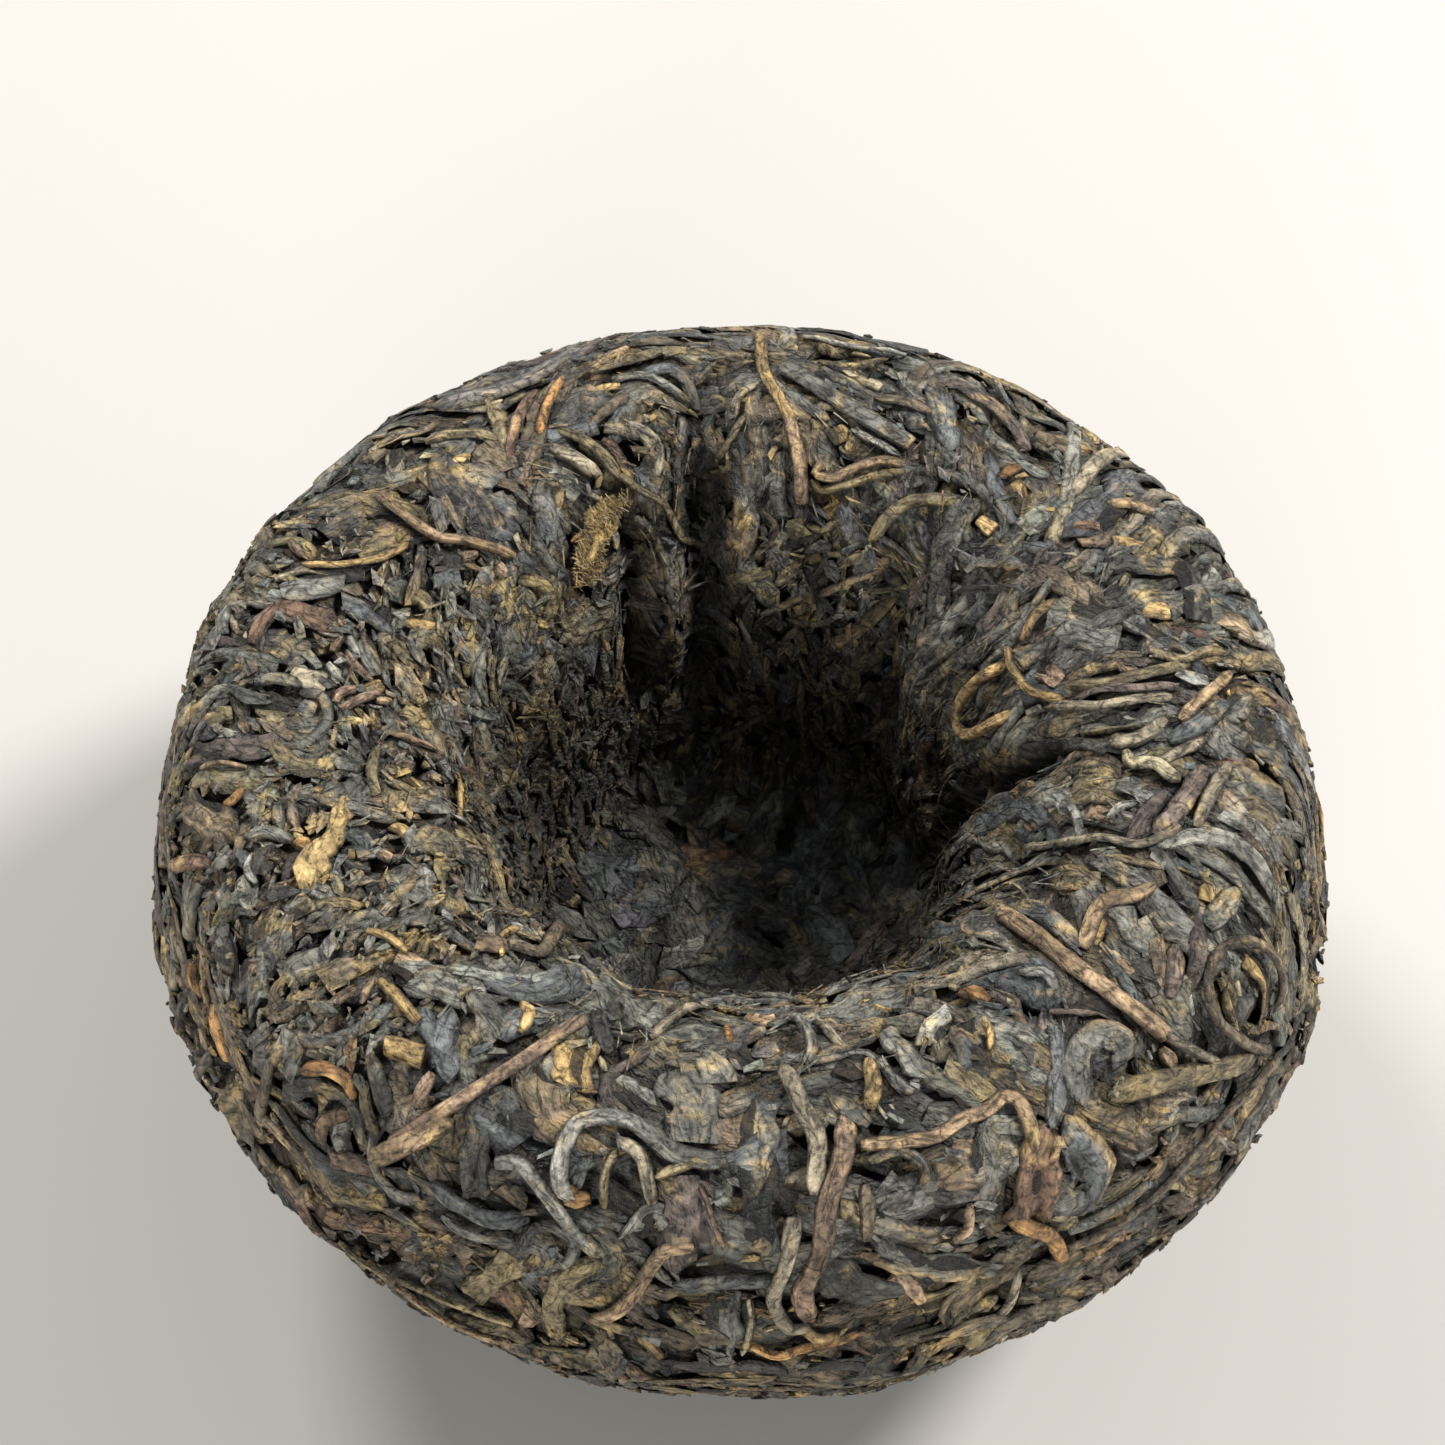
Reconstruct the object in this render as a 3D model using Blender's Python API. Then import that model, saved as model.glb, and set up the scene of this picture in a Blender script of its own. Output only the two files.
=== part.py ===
"""A nest of pressed pu erh tea, lying on its dome with the hollow of its ring upwards.

Lengths are in mm and angles in degrees; the mesh is made in metres. A place on the tea is a pair
(around, along). around is the angle from +X, anticlockwise seen from above, so 90 is the back and 270
the front. along is the distance on the profile, which starts in the middle of the hollow's floor,
climbs the wall, crosses the ring and runs down the dome to the flat spot that the tea rests on.
"""

import math
import random

import bmesh
import bpy
from mathutils import Vector, noise

MM = 0.001

# The pressed form
OUTER_RADIUS = 41.0
HEIGHT = 43.5
CREASE_HEIGHT = 28.0    # the widest line, where the cloth-drawn ring meets the moulded dome
RIM_RADIUS = 28.1       # of the ring's top
NECK_RADIUS = 13.5      # narrowest ring of the hollow
NECK_HEIGHT = 20.4
FLOOR_RADIUS = 9.8
FLOOR_HEIGHT = 15.2
FLOOR_DIP = 1.0         # the floor's middle lies this much lower
BASE_RADIUS = 14.3      # flat spot that it rests on
CREASE_TURN = 63.2      # slope of the ring where it meets the crease
DOME_TURN = 78.0        # slope of the dome there

# Its round is slightly uneven: (waves in a turn, cosine part, sine part), as shares of the radius
UNEVEN_ROUND = ((2, 0.011, -0.007), (3, -0.002, 0.004), (4, -0.002, -0.002))

# The core lies this far inside the form, and the strands fused on it reach the form
CORE_INSET = 0.75
LUMP_HEIGHT = 0.35
LUMP_LENGTH = 5.5
CORE_SEGMENTS = 46
CORE_STEP = 4.4         # between the core's rings, along the profile

# Folds that the gathered cloth left: (start, end, half width, depth). A negative depth is a roll.
FOLDS = (
    ((95, 50.0), (97, 36.0), 2.4, 1.7),
    ((97, 40.0), (100, 20.0), 2.1, 2.6),
    ((111, 38.0), (118, 22.0), 1.6, 2.0),
    ((103, 42.0), (107, 24.0), 1.8, -0.9),
    ((152, 34.0), (163, 20.0), 1.5, 1.3),
    ((56, 37.0), (44, 22.0), 1.6, 1.5),
    ((30, 32.0), (27, 18.0), 2.6, -0.8),
    ((4, 21.0), (1, 32.0), 1.3, 2.3),
    ((1, 31.0), (357, 39.0), 1.2, 1.9),
    ((10, 14.0), (2, 20.0), 1.4, 1.2),
    ((75, 40.0), (74, 24.0), 1.8, 0.8),
    ((215, 40.0), (212, 24.0), 1.8, 0.9),
    ((250, 40.0), (249, 25.0), 1.7, 0.8),
    ((305, 40.0), (309, 26.0), 1.8, 0.9),
    ((340, 41.0), (338, 26.0), 1.6, 0.8),
    ((176, 41.0), (178, 27.0), 1.8, 0.7),
)

# Strands that are known one by one: name, width, thickness and the places that they pass
KNOWN_STRANDS = (
    ("front_left_stem", 1.6, 1.3, ((234, 57.5), (238, 52.0), (242, 48.0), (246, 43.0))),
    ("right_front_stem", 2.0, 1.4, ((321, 38.5), (317, 45.0), (319, 53.0), (322, 59.0))),
    ("back_stem", 1.5, 1.3, ((88, 52.0), (84, 47.0), (81, 43.0), (77, 38.0))),
    ("back_grey_stem", 1.9, 1.6, ((86, 49.0), (75, 46.0), (62, 44.5))),
    ("left_back_stem", 1.5, 1.2, ((146, 50.0), (145, 44.5), (137, 39.0))),
    ("front_loop", 1.6, 1.4, ((252, 55.0), (249, 51.0), (254, 48.5), (260, 49.0), (265, 52.0))),
    ("front_inner_loop", 1.2, 1.0, ((256, 50.5), (260, 52.0), (261, 55.0))),
    ("front_light_strand", 1.5, 1.2, ((244, 54.0), (249, 54.5), (254, 56.0), (258, 58.5))),
    ("front_dark_strip", 2.4, 1.4, ((272, 47.5), (272, 53.0), (271, 59.0))),
    ("front_brown_strip", 2.0, 1.4, ((283, 48.5), (279, 54.0), (276, 62.0))),
    ("front_hook", 1.9, 1.4, ((275, 54.5), (272, 60.0), (275, 63.5), (281, 65.0))),
    ("folded_gold_strand", 2.0, 1.5, ((283, 50.5), (291, 51.5), (298, 50.5), (301, 55.0))),
    ("red_brown_leaf", 3.4, 1.3, ((301, 53.0), (299, 57.0), (298, 61.0))),
    ("orange_tip", 2.2, 1.3, ((294, 59.0), (298, 62.0), (302, 65.5))),
    ("crease_stem", 1.2, 1.1, ((332, 66.0), (318, 64.0), (308, 63.5), (300, 64.5))),
    ("right_outer_loop", 1.5, 1.3, ((332, 52.5), (324, 56.0), (325, 61.0), (332, 65.0))),
    ("right_inner_loop", 1.3, 1.2, ((331, 55.0), (336, 59.0), (333, 63.5))),
    ("right_gold_leaf", 3.0, 1.2, ((327, 57.5), (333, 58.5))),
    ("tan_curl", 1.6, 1.3, ((320, 48.0), (326, 46.0), (334, 49.0))),
    ("gold_hook", 1.8, 1.4, ((22, 38.0), (23, 33.0), (17, 30.5), (11, 33.5))),
    ("reddish_piece", 1.9, 1.2, ((21, 36.0), (13, 38.5), (6, 39.5))),
    ("right_fan_1", 2.2, 1.3, ((14, 34.5), (5, 41.0), (3, 50.0))),
    ("right_fan_2", 2.4, 1.4, ((6, 35.0), (359, 43.0), (0, 51.0))),
    ("right_fork", 1.5, 1.2, ((355, 41.0), (352, 45.0), (348, 48.5))),
    ("broad_leaf_1", 4.8, 1.3, ((21, 39.5), (16, 43.0), (9, 46.5))),
    ("broad_leaf_2", 3.0, 1.3, ((36, 39.5), (31, 43.0), (25, 46.0))),
    ("broad_leaf_3", 3.6, 1.3, ((142, 47.5), (136, 45.0), (129, 42.0))),
    ("back_curl", 1.8, 1.3, ((88, 38.5), (84, 34.5), (74, 34.0), (69, 37.0))),
    ("gold_bud", 3.2, 1.4, ((116, 41.0), (122, 37.0), (128, 33.0))),
    ("yellow_leaf", 2.8, 1.1, ((196, 45.0), (201, 47.5), (206, 50.0))),
    ("left_red_leaf", 3.2, 1.2, ((170, 51.0), (165, 49.0), (160, 47.5))),
    ("left_pink_stem", 1.6, 1.2, ((180, 46.0), (175, 41.0))),
    ("hollow_strand", 1.5, 1.2, ((71, 25.0), (68, 14.5))),
    ("lip_stem", 1.6, 1.4, ((233, 43.0), (229, 39.0), (227, 35.0))),
    ("left_curl", 1.5, 1.2, ((220, 60.0), (224, 55.0), (230, 56.0))),
    ("left_fan_1", 2.4, 1.3, ((130, 45.0), (121, 47.5), (113, 50.5))),
    ("left_fan_2", 2.2, 1.3, ((126, 43.0), (119, 45.0), (112, 46.5))),
    ("left_edge_strand", 1.8, 1.3, ((160, 55.0), (152, 52.0), (146, 52.0))),
    ("back_right_strand", 2.0, 1.4, ((64, 41.5), (56, 45.0), (52, 50.0))),
    ("right_edge_strand", 2.0, 1.3, ((20, 52.0), (8, 55.0), (356, 53.0))),
    ("front_right_strip", 2.6, 1.4, ((310, 45.0), (307, 50.0), (309, 56.0))),
    ("front_right_curl", 2.0, 1.4, ((313, 55.0), (308, 59.0), (313, 62.0))),
    ("front_left_strip", 2.6, 1.4, ((240, 58.0), (247, 61.5), (254, 62.0))),
)

# The rest of the strands are drawn by chance, each in a free place
CHANCE_SEED = 27
CHANCE_STRANDS = 108
CHANCE_WIDTHS = (1.9, 4.2)
CHANCE_LENGTHS = (9.0, 18.0)
CHANCE_SPAN = (19.0, 104.0)   # of along
CHANCE_CLEAR = 4.3            # between the middles of two strands
STRAND_SIDES = 5
STRAND_STATIONS = 4
MOST_TRIANGLES = 11700        # the union's slivers are collapsed until this many are left

TEA_COLOR = (0.052, 0.045, 0.038, 1.0)
TEA_ROUGHNESS = 0.78


def curve_points(p0, p1, p2, p3, steps):
    """Points of one cubic curve in the profile's plane, without its first."""
    points = []
    for step in range(1, steps + 1):
        t = step / steps
        weights = ((1 - t) ** 3, 3 * (1 - t) ** 2 * t, 3 * (1 - t) * t * t, t ** 3)
        r = sum(w * p[0] for w, p in zip(weights, (p0, p1, p2, p3)))
        z = sum(w * p[1] for w, p in zip(weights, (p0, p1, p2, p3)))
        points.append((r, z))
    return points


def make_profile(steps=60):
    """The profile's points (radius, height), and the distance along it at each."""
    rise = HEIGHT - NECK_HEIGHT
    ring = OUTER_RADIUS - RIM_RADIUS
    handle = 0.211 * OUTER_RADIUS
    slope = math.radians(CREASE_TURN)
    dome_slope = math.radians(DOME_TURN)
    dip = FLOOR_HEIGHT - FLOOR_DIP
    centre = (0.0, dip)
    floor_edge = (FLOOR_RADIUS, FLOOR_HEIGHT)
    neck = (NECK_RADIUS, NECK_HEIGHT)
    rim = (RIM_RADIUS, HEIGHT)
    crease = (OUTER_RADIUS, CREASE_HEIGHT)
    base = (BASE_RADIUS, 0.0)
    points = [centre]
    points += curve_points(
        centre, (0.4 * FLOOR_RADIUS, dip), (0.7 * FLOOR_RADIUS, dip + 0.5), floor_edge, steps
    )
    points += curve_points(
        floor_edge, (FLOOR_RADIUS + 2.4, FLOOR_HEIGHT + 0.6), (NECK_RADIUS - 0.2, NECK_HEIGHT - 5.0),
        neck, steps,
    )
    points += curve_points(
        neck, (NECK_RADIUS, NECK_HEIGHT + 0.5 * rise),
        (RIM_RADIUS - 0.6 * (RIM_RADIUS - NECK_RADIUS), HEIGHT), rim, steps,
    )
    points += curve_points(
        rim, (RIM_RADIUS + 0.903 * ring, HEIGHT),
        (OUTER_RADIUS - handle * math.cos(slope), CREASE_HEIGHT + handle * math.sin(slope)),
        crease, steps,
    )
    reach = 0.5 * CREASE_HEIGHT
    points += curve_points(
        crease,
        (OUTER_RADIUS - reach * math.cos(dome_slope), CREASE_HEIGHT - reach * math.sin(dome_slope)),
        (BASE_RADIUS + 0.55 * (OUTER_RADIUS - BASE_RADIUS), 0.0), base, steps,
    )
    lengths = [0.0]
    for (r0, z0), (r1, z1) in zip(points, points[1:]):
        lengths.append(lengths[-1] + math.hypot(r1 - r0, z1 - z0))
    return points, lengths


PROFILE, PROFILE_LENGTHS = make_profile()
BASE_EDGE = PROFILE_LENGTHS[-1]


def on_profile(along):
    """Radius and height at a distance along the profile."""
    along = min(max(along, 0.0), BASE_EDGE)
    low, high = 0, len(PROFILE_LENGTHS) - 1
    while high - low > 1:
        middle = (low + high) // 2
        if PROFILE_LENGTHS[middle] > along:
            high = middle
        else:
            low = middle
    share = (along - PROFILE_LENGTHS[low]) / (PROFILE_LENGTHS[high] - PROFILE_LENGTHS[low])
    r = PROFILE[low][0] + share * (PROFILE[high][0] - PROFILE[low][0])
    z = PROFILE[low][1] + share * (PROFILE[high][1] - PROFILE[low][1])
    return r, z


def roundness(around):
    """The share by which the radius departs from a true round."""
    turn = math.radians(around)
    return 1.0 + sum(c * math.cos(n * turn) + s * math.sin(n * turn) for n, c, s in UNEVEN_ROUND)


def outward(around, along):
    """The direction away from the tea at a place, and the two directions along its surface."""
    step = 0.4
    r0, z0 = on_profile(along - step)
    r1, z1 = on_profile(along + step)
    length = math.hypot(r1 - r0, z1 - z0)
    dr, dz = (r1 - r0) / length, (z1 - z0) / length
    turn = math.radians(around)
    ray = Vector((math.cos(turn), math.sin(turn), 0.0))
    side = Vector((-math.sin(turn), math.cos(turn), 0.0))
    forward = ray * dr + Vector((0.0, 0.0, dz))
    return ray * -dz + Vector((0.0, 0.0, dr)), side, forward


def form_point(around, along, lift=0.0):
    """The point in mm at a place, moved outward by lift."""
    r, z = on_profile(along)
    turn = math.radians(around)
    r *= roundness(around)
    point = Vector((r * math.cos(turn), r * math.sin(turn), z))
    return point + outward(around, along)[0] * lift


def fold_depth(around, along):
    """How deep the cloth's folds press the surface in at a place."""
    depth = 0.0
    radius = on_profile(along)[0]
    for (a0, s0), (a1, s1), half_width, full_depth in FOLDS:
        middle = (a0 + a1) / 2
        a0 += 360 * round((middle - a0) / 360)
        a1 += 360 * round((middle - a1) / 360)
        middle = (a0 + a1) / 2
        offset = (around - middle + 180) % 360 - 180
        run_a = math.radians(a1 - a0) * radius
        run_s = s1 - s0
        from_a = math.radians(offset - (a0 - middle)) * radius
        from_s = along - s0
        share = (from_a * run_a + from_s * run_s) / (run_a ** 2 + run_s ** 2)
        share = min(max(share, 0.0), 1.0)
        away = math.hypot(from_a - share * run_a, from_s - share * run_s)
        ends = min(1.0, 4.0 * min(share, 1.0 - share) + 0.35)
        depth += full_depth * ends * math.exp(-((away / half_width) ** 2))
    return depth


def core_lift(around, along):
    """Height of the core against the pressed form: inset, lumps of leaf and folds."""
    point = form_point(around, along) / LUMP_LENGTH
    lump = LUMP_HEIGHT * noise.noise(point, noise_basis="PERLIN_ORIGINAL")
    near_base = max(0.0, min(1.0, (BASE_EDGE - along) / 8.0))
    return (-CORE_INSET + 2.0 * lump) * near_base - fold_depth(around, along)


def new_object(name, bm, collection):
    mesh = bpy.data.meshes.new(name)
    bmesh.ops.triangulate(bm, faces=bm.faces)
    bmesh.ops.recalc_face_normals(bm, faces=bm.faces)
    bm.to_mesh(mesh)
    bm.free()
    piece = bpy.data.objects.new(name, mesh)
    collection.objects.link(piece)
    return piece


def bridge(bm, lower, upper):
    """Quads between two rings of as many vertices."""
    count = len(lower)
    for i in range(count):
        j = (i + 1) % count
        bm.faces.new((lower[i], lower[j], upper[j], upper[i]))


def make_core(collection):
    """The pressed body under the strands, one closed shell turned round the axis."""
    bm = bmesh.new()
    rings = max(2, round(BASE_EDGE / CORE_STEP))
    centre = bm.verts.new(form_point(0.0, 0.0, core_lift(0.0, 0.5)) * MM)
    previous = None
    for ring in range(1, rings + 1):
        along = BASE_EDGE * ring / rings
        current = []
        for segment in range(CORE_SEGMENTS):
            around = 360.0 * (segment + 0.5 * (ring % 2)) / CORE_SEGMENTS
            lift = core_lift(around, along) if ring < rings else 0.0
            point = form_point(around, along, lift)
            point.z = max(point.z, 0.0)
            current.append(bm.verts.new(point * MM))
        if previous is None:
            for i in range(CORE_SEGMENTS):
                bm.faces.new((centre, current[i], current[(i + 1) % CORE_SEGMENTS]))
        else:
            bridge(bm, previous, current)
        previous = current
    bm.faces.new(previous)
    return new_object("tuocha", bm, collection)


def smooth_path(places, count):
    """count places on a smooth line through the given ones, evenly shared between them."""
    around = [places[0][0]]
    for place in places[1:]:
        around.append(around[-1] + (place[0] - around[-1] + 180) % 360 - 180)
    knots = list(zip(around, (place[1] for place in places)))
    knots = [knots[0]] + knots + [knots[-1]]
    path = []
    for k in range(count):
        t = k / (count - 1) * (len(places) - 1)
        i = min(int(t), len(places) - 2)
        t -= i
        p0, p1, p2, p3 = knots[i:i + 4]
        path.append(tuple(
            0.5 * (2 * b + (c - a) * t + (2 * a - 5 * b + 4 * c - d) * t ** 2
                   + (3 * b - a - 3 * c + d) * t ** 3)
            for a, b, c, d in zip(p0, p1, p2, p3)
        ))
    return path


def add_strand(name, width, thickness, places, collection, stations, sink=0.0, lean=0.0):
    """A flat strand of leaf or stem laid along places, half sunk in the core."""
    path = smooth_path(places, stations)
    centres = []
    frames = []
    for around, along in path:
        normal, side, forward = outward(around, along)
        drop = 0.75 * fold_depth(around, along)
        centres.append(form_point(around, along, 0.25 - 0.5 * thickness - sink - drop))
        frames.append(normal)
    bm = bmesh.new()
    previous = None
    for k, centre in enumerate(centres):
        before = centres[max(k - 1, 0)]
        after = centres[min(k + 1, stations - 1)]
        heading = (after - before).normalized()
        across = frames[k].cross(heading).normalized()
        up = heading.cross(across)
        share = k / (stations - 1)
        taper = 0.45 + 0.55 * math.sin(math.pi * (0.08 + 0.84 * share)) ** 0.7
        ring = []
        for i in range(STRAND_SIDES):
            turn = 2 * math.pi * (i + 0.5) / STRAND_SIDES + lean
            off = across * (0.5 * width * taper * math.cos(turn))
            off += up * (0.62 * thickness * taper * math.sin(turn))
            ring.append(bm.verts.new((centre + off) * MM))
        if previous:
            bridge(bm, previous, ring)
        else:
            bm.faces.new(list(reversed(ring)))
        previous = ring
    bm.faces.new(previous)
    return new_object(name, bm, collection)


def flow(around, along, chance):
    """The way a chance strand heads: 0 runs round the tea, 90 runs along its profile."""
    if along > 69:
        return chance.gauss(4, 22)
    if along < 38:
        return chance.gauss(88, 24)
    offset = abs((around + 180) % 360 - 180)
    if offset < 50:
        return chance.gauss(95, 28)
    return chance.uniform(0, 180)


def add_chance_strands(collection):
    """Strands in the free places all over the tea, evenly spread and turned as it was pressed."""
    chance = random.Random(CHANCE_SEED)
    taken = [form_point(*place) for _, _, _, places in KNOWN_STRANDS for place in places]
    made = 0
    tries = 0
    while made < CHANCE_STRANDS and tries < 9000:
        tries += 1
        around = chance.uniform(0, 360)
        along = chance.uniform(*CHANCE_SPAN)
        keep = chance.random() < on_profile(along)[0] / OUTER_RADIUS
        width = chance.uniform(*CHANCE_WIDTHS)
        length = chance.uniform(*CHANCE_LENGTHS)
        heading = math.radians(flow(around, along, chance))
        bend = chance.gauss(0, 0.5)
        lean = chance.uniform(-0.35, 0.35)
        sink = chance.uniform(0.0, 0.35)
        middle = form_point(around, along)
        if not keep or any((middle - other).length < CHANCE_CLEAR for other in taken):
            continue
        radius = on_profile(along)[0]
        if radius < 20:
            length *= 0.7
            width *= 0.7
        places = []
        for share in (-0.5, 0.0, 0.5):
            turned = heading + bend * share
            step_a = math.degrees(math.cos(turned) * share * length / radius)
            step_s = math.sin(turned) * share * length
            places.append((around + step_a, min(max(along + step_s, 12.0), CHANCE_SPAN[1] + 2)))
        name = f"strand_{made:03d}"
        thickness = 0.38 * width + 0.45
        add_strand(name, width, thickness, places, collection, STRAND_STATIONS, sink, lean)
        taken.append(middle)
        made += 1


def apply_modifiers(piece):
    graph = bpy.context.evaluated_depsgraph_get()
    mesh = bpy.data.meshes.new_from_object(piece.evaluated_get(graph))
    piece.modifiers.clear()
    piece.data = mesh


def join_strands(core, collection):
    """One Boolean union of the core with all strands, applied."""
    joined = core.modifiers.new("join", "BOOLEAN")
    joined.operation = "UNION"
    joined.solver = "EXACT"
    joined.operand_type = "COLLECTION"
    joined.collection = collection
    apply_modifiers(core)
    for piece in list(collection.objects):
        bpy.data.objects.remove(piece)
    bpy.data.collections.remove(collection)


def drop_scraps(core):
    """Keeps the largest connected body, so no hidden pocket or loose scrap is left."""
    bm = bmesh.new()
    bm.from_mesh(core.data)
    bmesh.ops.triangulate(bm, faces=bm.faces)
    left = set(bm.verts)
    bodies = []
    while left:
        stack = [left.pop()]
        body = list(stack)
        while stack:
            for edge in stack.pop().link_edges:
                for vert in edge.verts:
                    if vert in left:
                        left.remove(vert)
                        stack.append(vert)
                        body.append(vert)
        bodies.append(body)
    bodies.sort(key=len, reverse=True)
    for body in bodies[1:]:
        bmesh.ops.delete(bm, geom=body, context="VERTS")
    bm.to_mesh(core.data)
    bm.free()


def collapse_slivers(core):
    """Collapses the least edges, most of them slivers along the strands' seams."""
    count = len(core.data.polygons)
    if count > MOST_TRIANGLES:
        thinned = core.modifiers.new("thin", "DECIMATE")
        thinned.ratio = MOST_TRIANGLES / count
        apply_modifiers(core)


def tea_material():
    material = bpy.data.materials.new("pressed_tea")
    material.use_nodes = True
    shader = material.node_tree.nodes["Principled BSDF"]
    shader.inputs["Base Color"].default_value = TEA_COLOR
    shader.inputs["Roughness"].default_value = TEA_ROUGHNESS
    shader.inputs["Metallic"].default_value = 0.0
    return material


def main():
    for thing in list(bpy.data.objects):
        bpy.data.objects.remove(thing)
    scene_collection = bpy.context.scene.collection
    strands = bpy.data.collections.new("strands")
    scene_collection.children.link(strands)
    core = make_core(scene_collection)
    for name, width, thickness, places in KNOWN_STRANDS:
        stations = 5 if len(places) < 4 else 7
        add_strand(name, width, thickness, places, strands, stations)
    add_chance_strands(strands)
    join_strands(core, strands)
    drop_scraps(core)
    collapse_slivers(core)
    core.data.materials.clear()
    core.data.materials.append(tea_material())
    core.data.shade_smooth()
    core.data.set_sharp_from_angle(angle=math.radians(50))


main()
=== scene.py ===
"""The looks of the pressed tea: leaf strands, stems, buds and crumbs laid in layers on its form.

Lengths are in mm and angles in degrees until the meshes are made. The form is the one of the solid:
around is the angle from +X, anticlockwise seen from above, and along is the distance on the profile
from the middle of the hollow's floor, over the ring, to the edge of the flat spot underneath.
"""

import math

import bpy
import numpy as np
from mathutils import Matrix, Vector
from mathutils.bvhtree import BVHTree


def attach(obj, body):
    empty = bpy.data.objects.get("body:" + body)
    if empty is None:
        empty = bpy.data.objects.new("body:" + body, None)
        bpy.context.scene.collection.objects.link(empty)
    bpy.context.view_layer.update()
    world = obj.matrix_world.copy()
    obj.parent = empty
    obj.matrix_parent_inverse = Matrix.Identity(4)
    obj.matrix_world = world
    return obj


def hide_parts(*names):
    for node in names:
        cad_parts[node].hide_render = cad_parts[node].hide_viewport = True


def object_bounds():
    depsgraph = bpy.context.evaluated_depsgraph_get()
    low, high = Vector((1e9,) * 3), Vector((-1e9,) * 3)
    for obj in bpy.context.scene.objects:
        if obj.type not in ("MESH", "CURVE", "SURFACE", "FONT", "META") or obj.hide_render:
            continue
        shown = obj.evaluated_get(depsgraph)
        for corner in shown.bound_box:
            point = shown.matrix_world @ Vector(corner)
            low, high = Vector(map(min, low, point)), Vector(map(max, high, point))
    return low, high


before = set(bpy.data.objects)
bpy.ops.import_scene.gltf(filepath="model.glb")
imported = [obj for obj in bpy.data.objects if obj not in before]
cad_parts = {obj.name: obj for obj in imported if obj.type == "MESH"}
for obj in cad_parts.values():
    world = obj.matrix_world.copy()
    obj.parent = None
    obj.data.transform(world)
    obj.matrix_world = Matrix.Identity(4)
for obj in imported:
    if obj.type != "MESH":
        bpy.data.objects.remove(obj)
CAD_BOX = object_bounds()

NODE = "tuocha"
MM = 0.001

# The pressed form, as in the solid
OUTER_RADIUS = 41.0
HEIGHT = 43.5
CREASE_HEIGHT = 28.0
RIM_RADIUS = 28.1
NECK_RADIUS = 13.5
NECK_HEIGHT = 20.4
FLOOR_RADIUS = 9.8
FLOOR_HEIGHT = 15.2
FLOOR_DIP = 1.0
BASE_RADIUS = 14.3
CREASE_TURN = 63.2
DOME_TURN = 78.0
UNEVEN_ROUND = ((2, 0.011, -0.007), (3, -0.002, 0.004), (4, -0.002, -0.002))

# Folds that the gathered cloth left: (start, end, half width, depth). A negative depth is a roll.
FOLDS = (
    ((95, 50.0), (97, 36.0), 2.2, 1.7),
    ((97, 40.0), (100, 20.0), 1.7, 3.0),
    ((111, 38.0), (118, 22.0), 1.4, 2.4),
    ((103, 42.0), (107, 24.0), 1.8, -0.9),
    ((152, 34.0), (163, 20.0), 1.4, 1.5),
    ((56, 37.0), (44, 22.0), 1.5, 1.7),
    ((30, 32.0), (27, 18.0), 2.6, -0.8),
    ((4, 21.0), (1, 32.0), 1.2, 2.8),
    ((1, 31.0), (357, 39.0), 1.0, 2.4),
    ((10, 14.0), (2, 20.0), 1.3, 1.4),
    ((75, 40.0), (74, 24.0), 1.8, 0.9),
    ((215, 40.0), (212, 24.0), 1.8, 0.9),
    ((250, 40.0), (249, 25.0), 1.7, 0.8),
    ((305, 40.0), (309, 26.0), 1.8, 0.9),
    ((340, 41.0), (338, 26.0), 1.6, 0.8),
    ((176, 41.0), (178, 27.0), 1.8, 0.7),
)

SEED = 41
CREASE_ANGLE = math.radians(38)

# The pressed layers: how deep the core lies, the height that leaves are pressed under and how softly,
# the top of their relief, how far inside the solid's box the squeeze begins, and the most uneven
# ground that one leaf spans
CORE_LIFT = -1.7
CAP = -0.1
SOFT = 0.28
TOP = 0.1
BOX_MARGIN = 1.1
MOST_BRIDGED = 1.7

# The first tries of the upper layers lay large leaves, and leaves of a wide half width stay dark
LARGE_FIRST = 0.2
LARGE_LENGTH = 0.6
WIDE = 0.85
WIDE_TONE = 0.12

# Leaves laid by chance: the least half width and length, how much coarser they are made from how far
# along, how much they tilt, roll, curl and slant, how far the hooked ones turn in radians, the shares
# of them with a pale tip and with a pale rim, and from which brightness on a colour counts as pale
LEAST_HALF_WIDTH = 0.3
LEAST_LENGTH = 1.6
COARSE_FROM = 85
COARSE = 1.7
LEAF_TILT = 0.06
LEAF_ROLL = 0.14
LEAF_CURL = 0.2
LEAF_SLANT = 0.5
HOOK_BEND = 2.3
TIP_SHARE = 0.16
RIM_SHARE = 0.45
PALE = 0.16
ANY_TURN = 6.3

# The photograph's camera
IMAGE_SIDE = 1445
FOCAL_PIXELS = 2776.0
CAMERA_DISTANCE = 184.5
CAMERA_ELEVATION = 57.0
CAMERA_TARGET = (-1.15, 0.0, 38.9)
AXIS_PIXEL_Y = 744.7
LIFTED = math.atan((AXIS_PIXEL_Y - IMAGE_SIDE / 2) / FOCAL_PIXELS)

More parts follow.
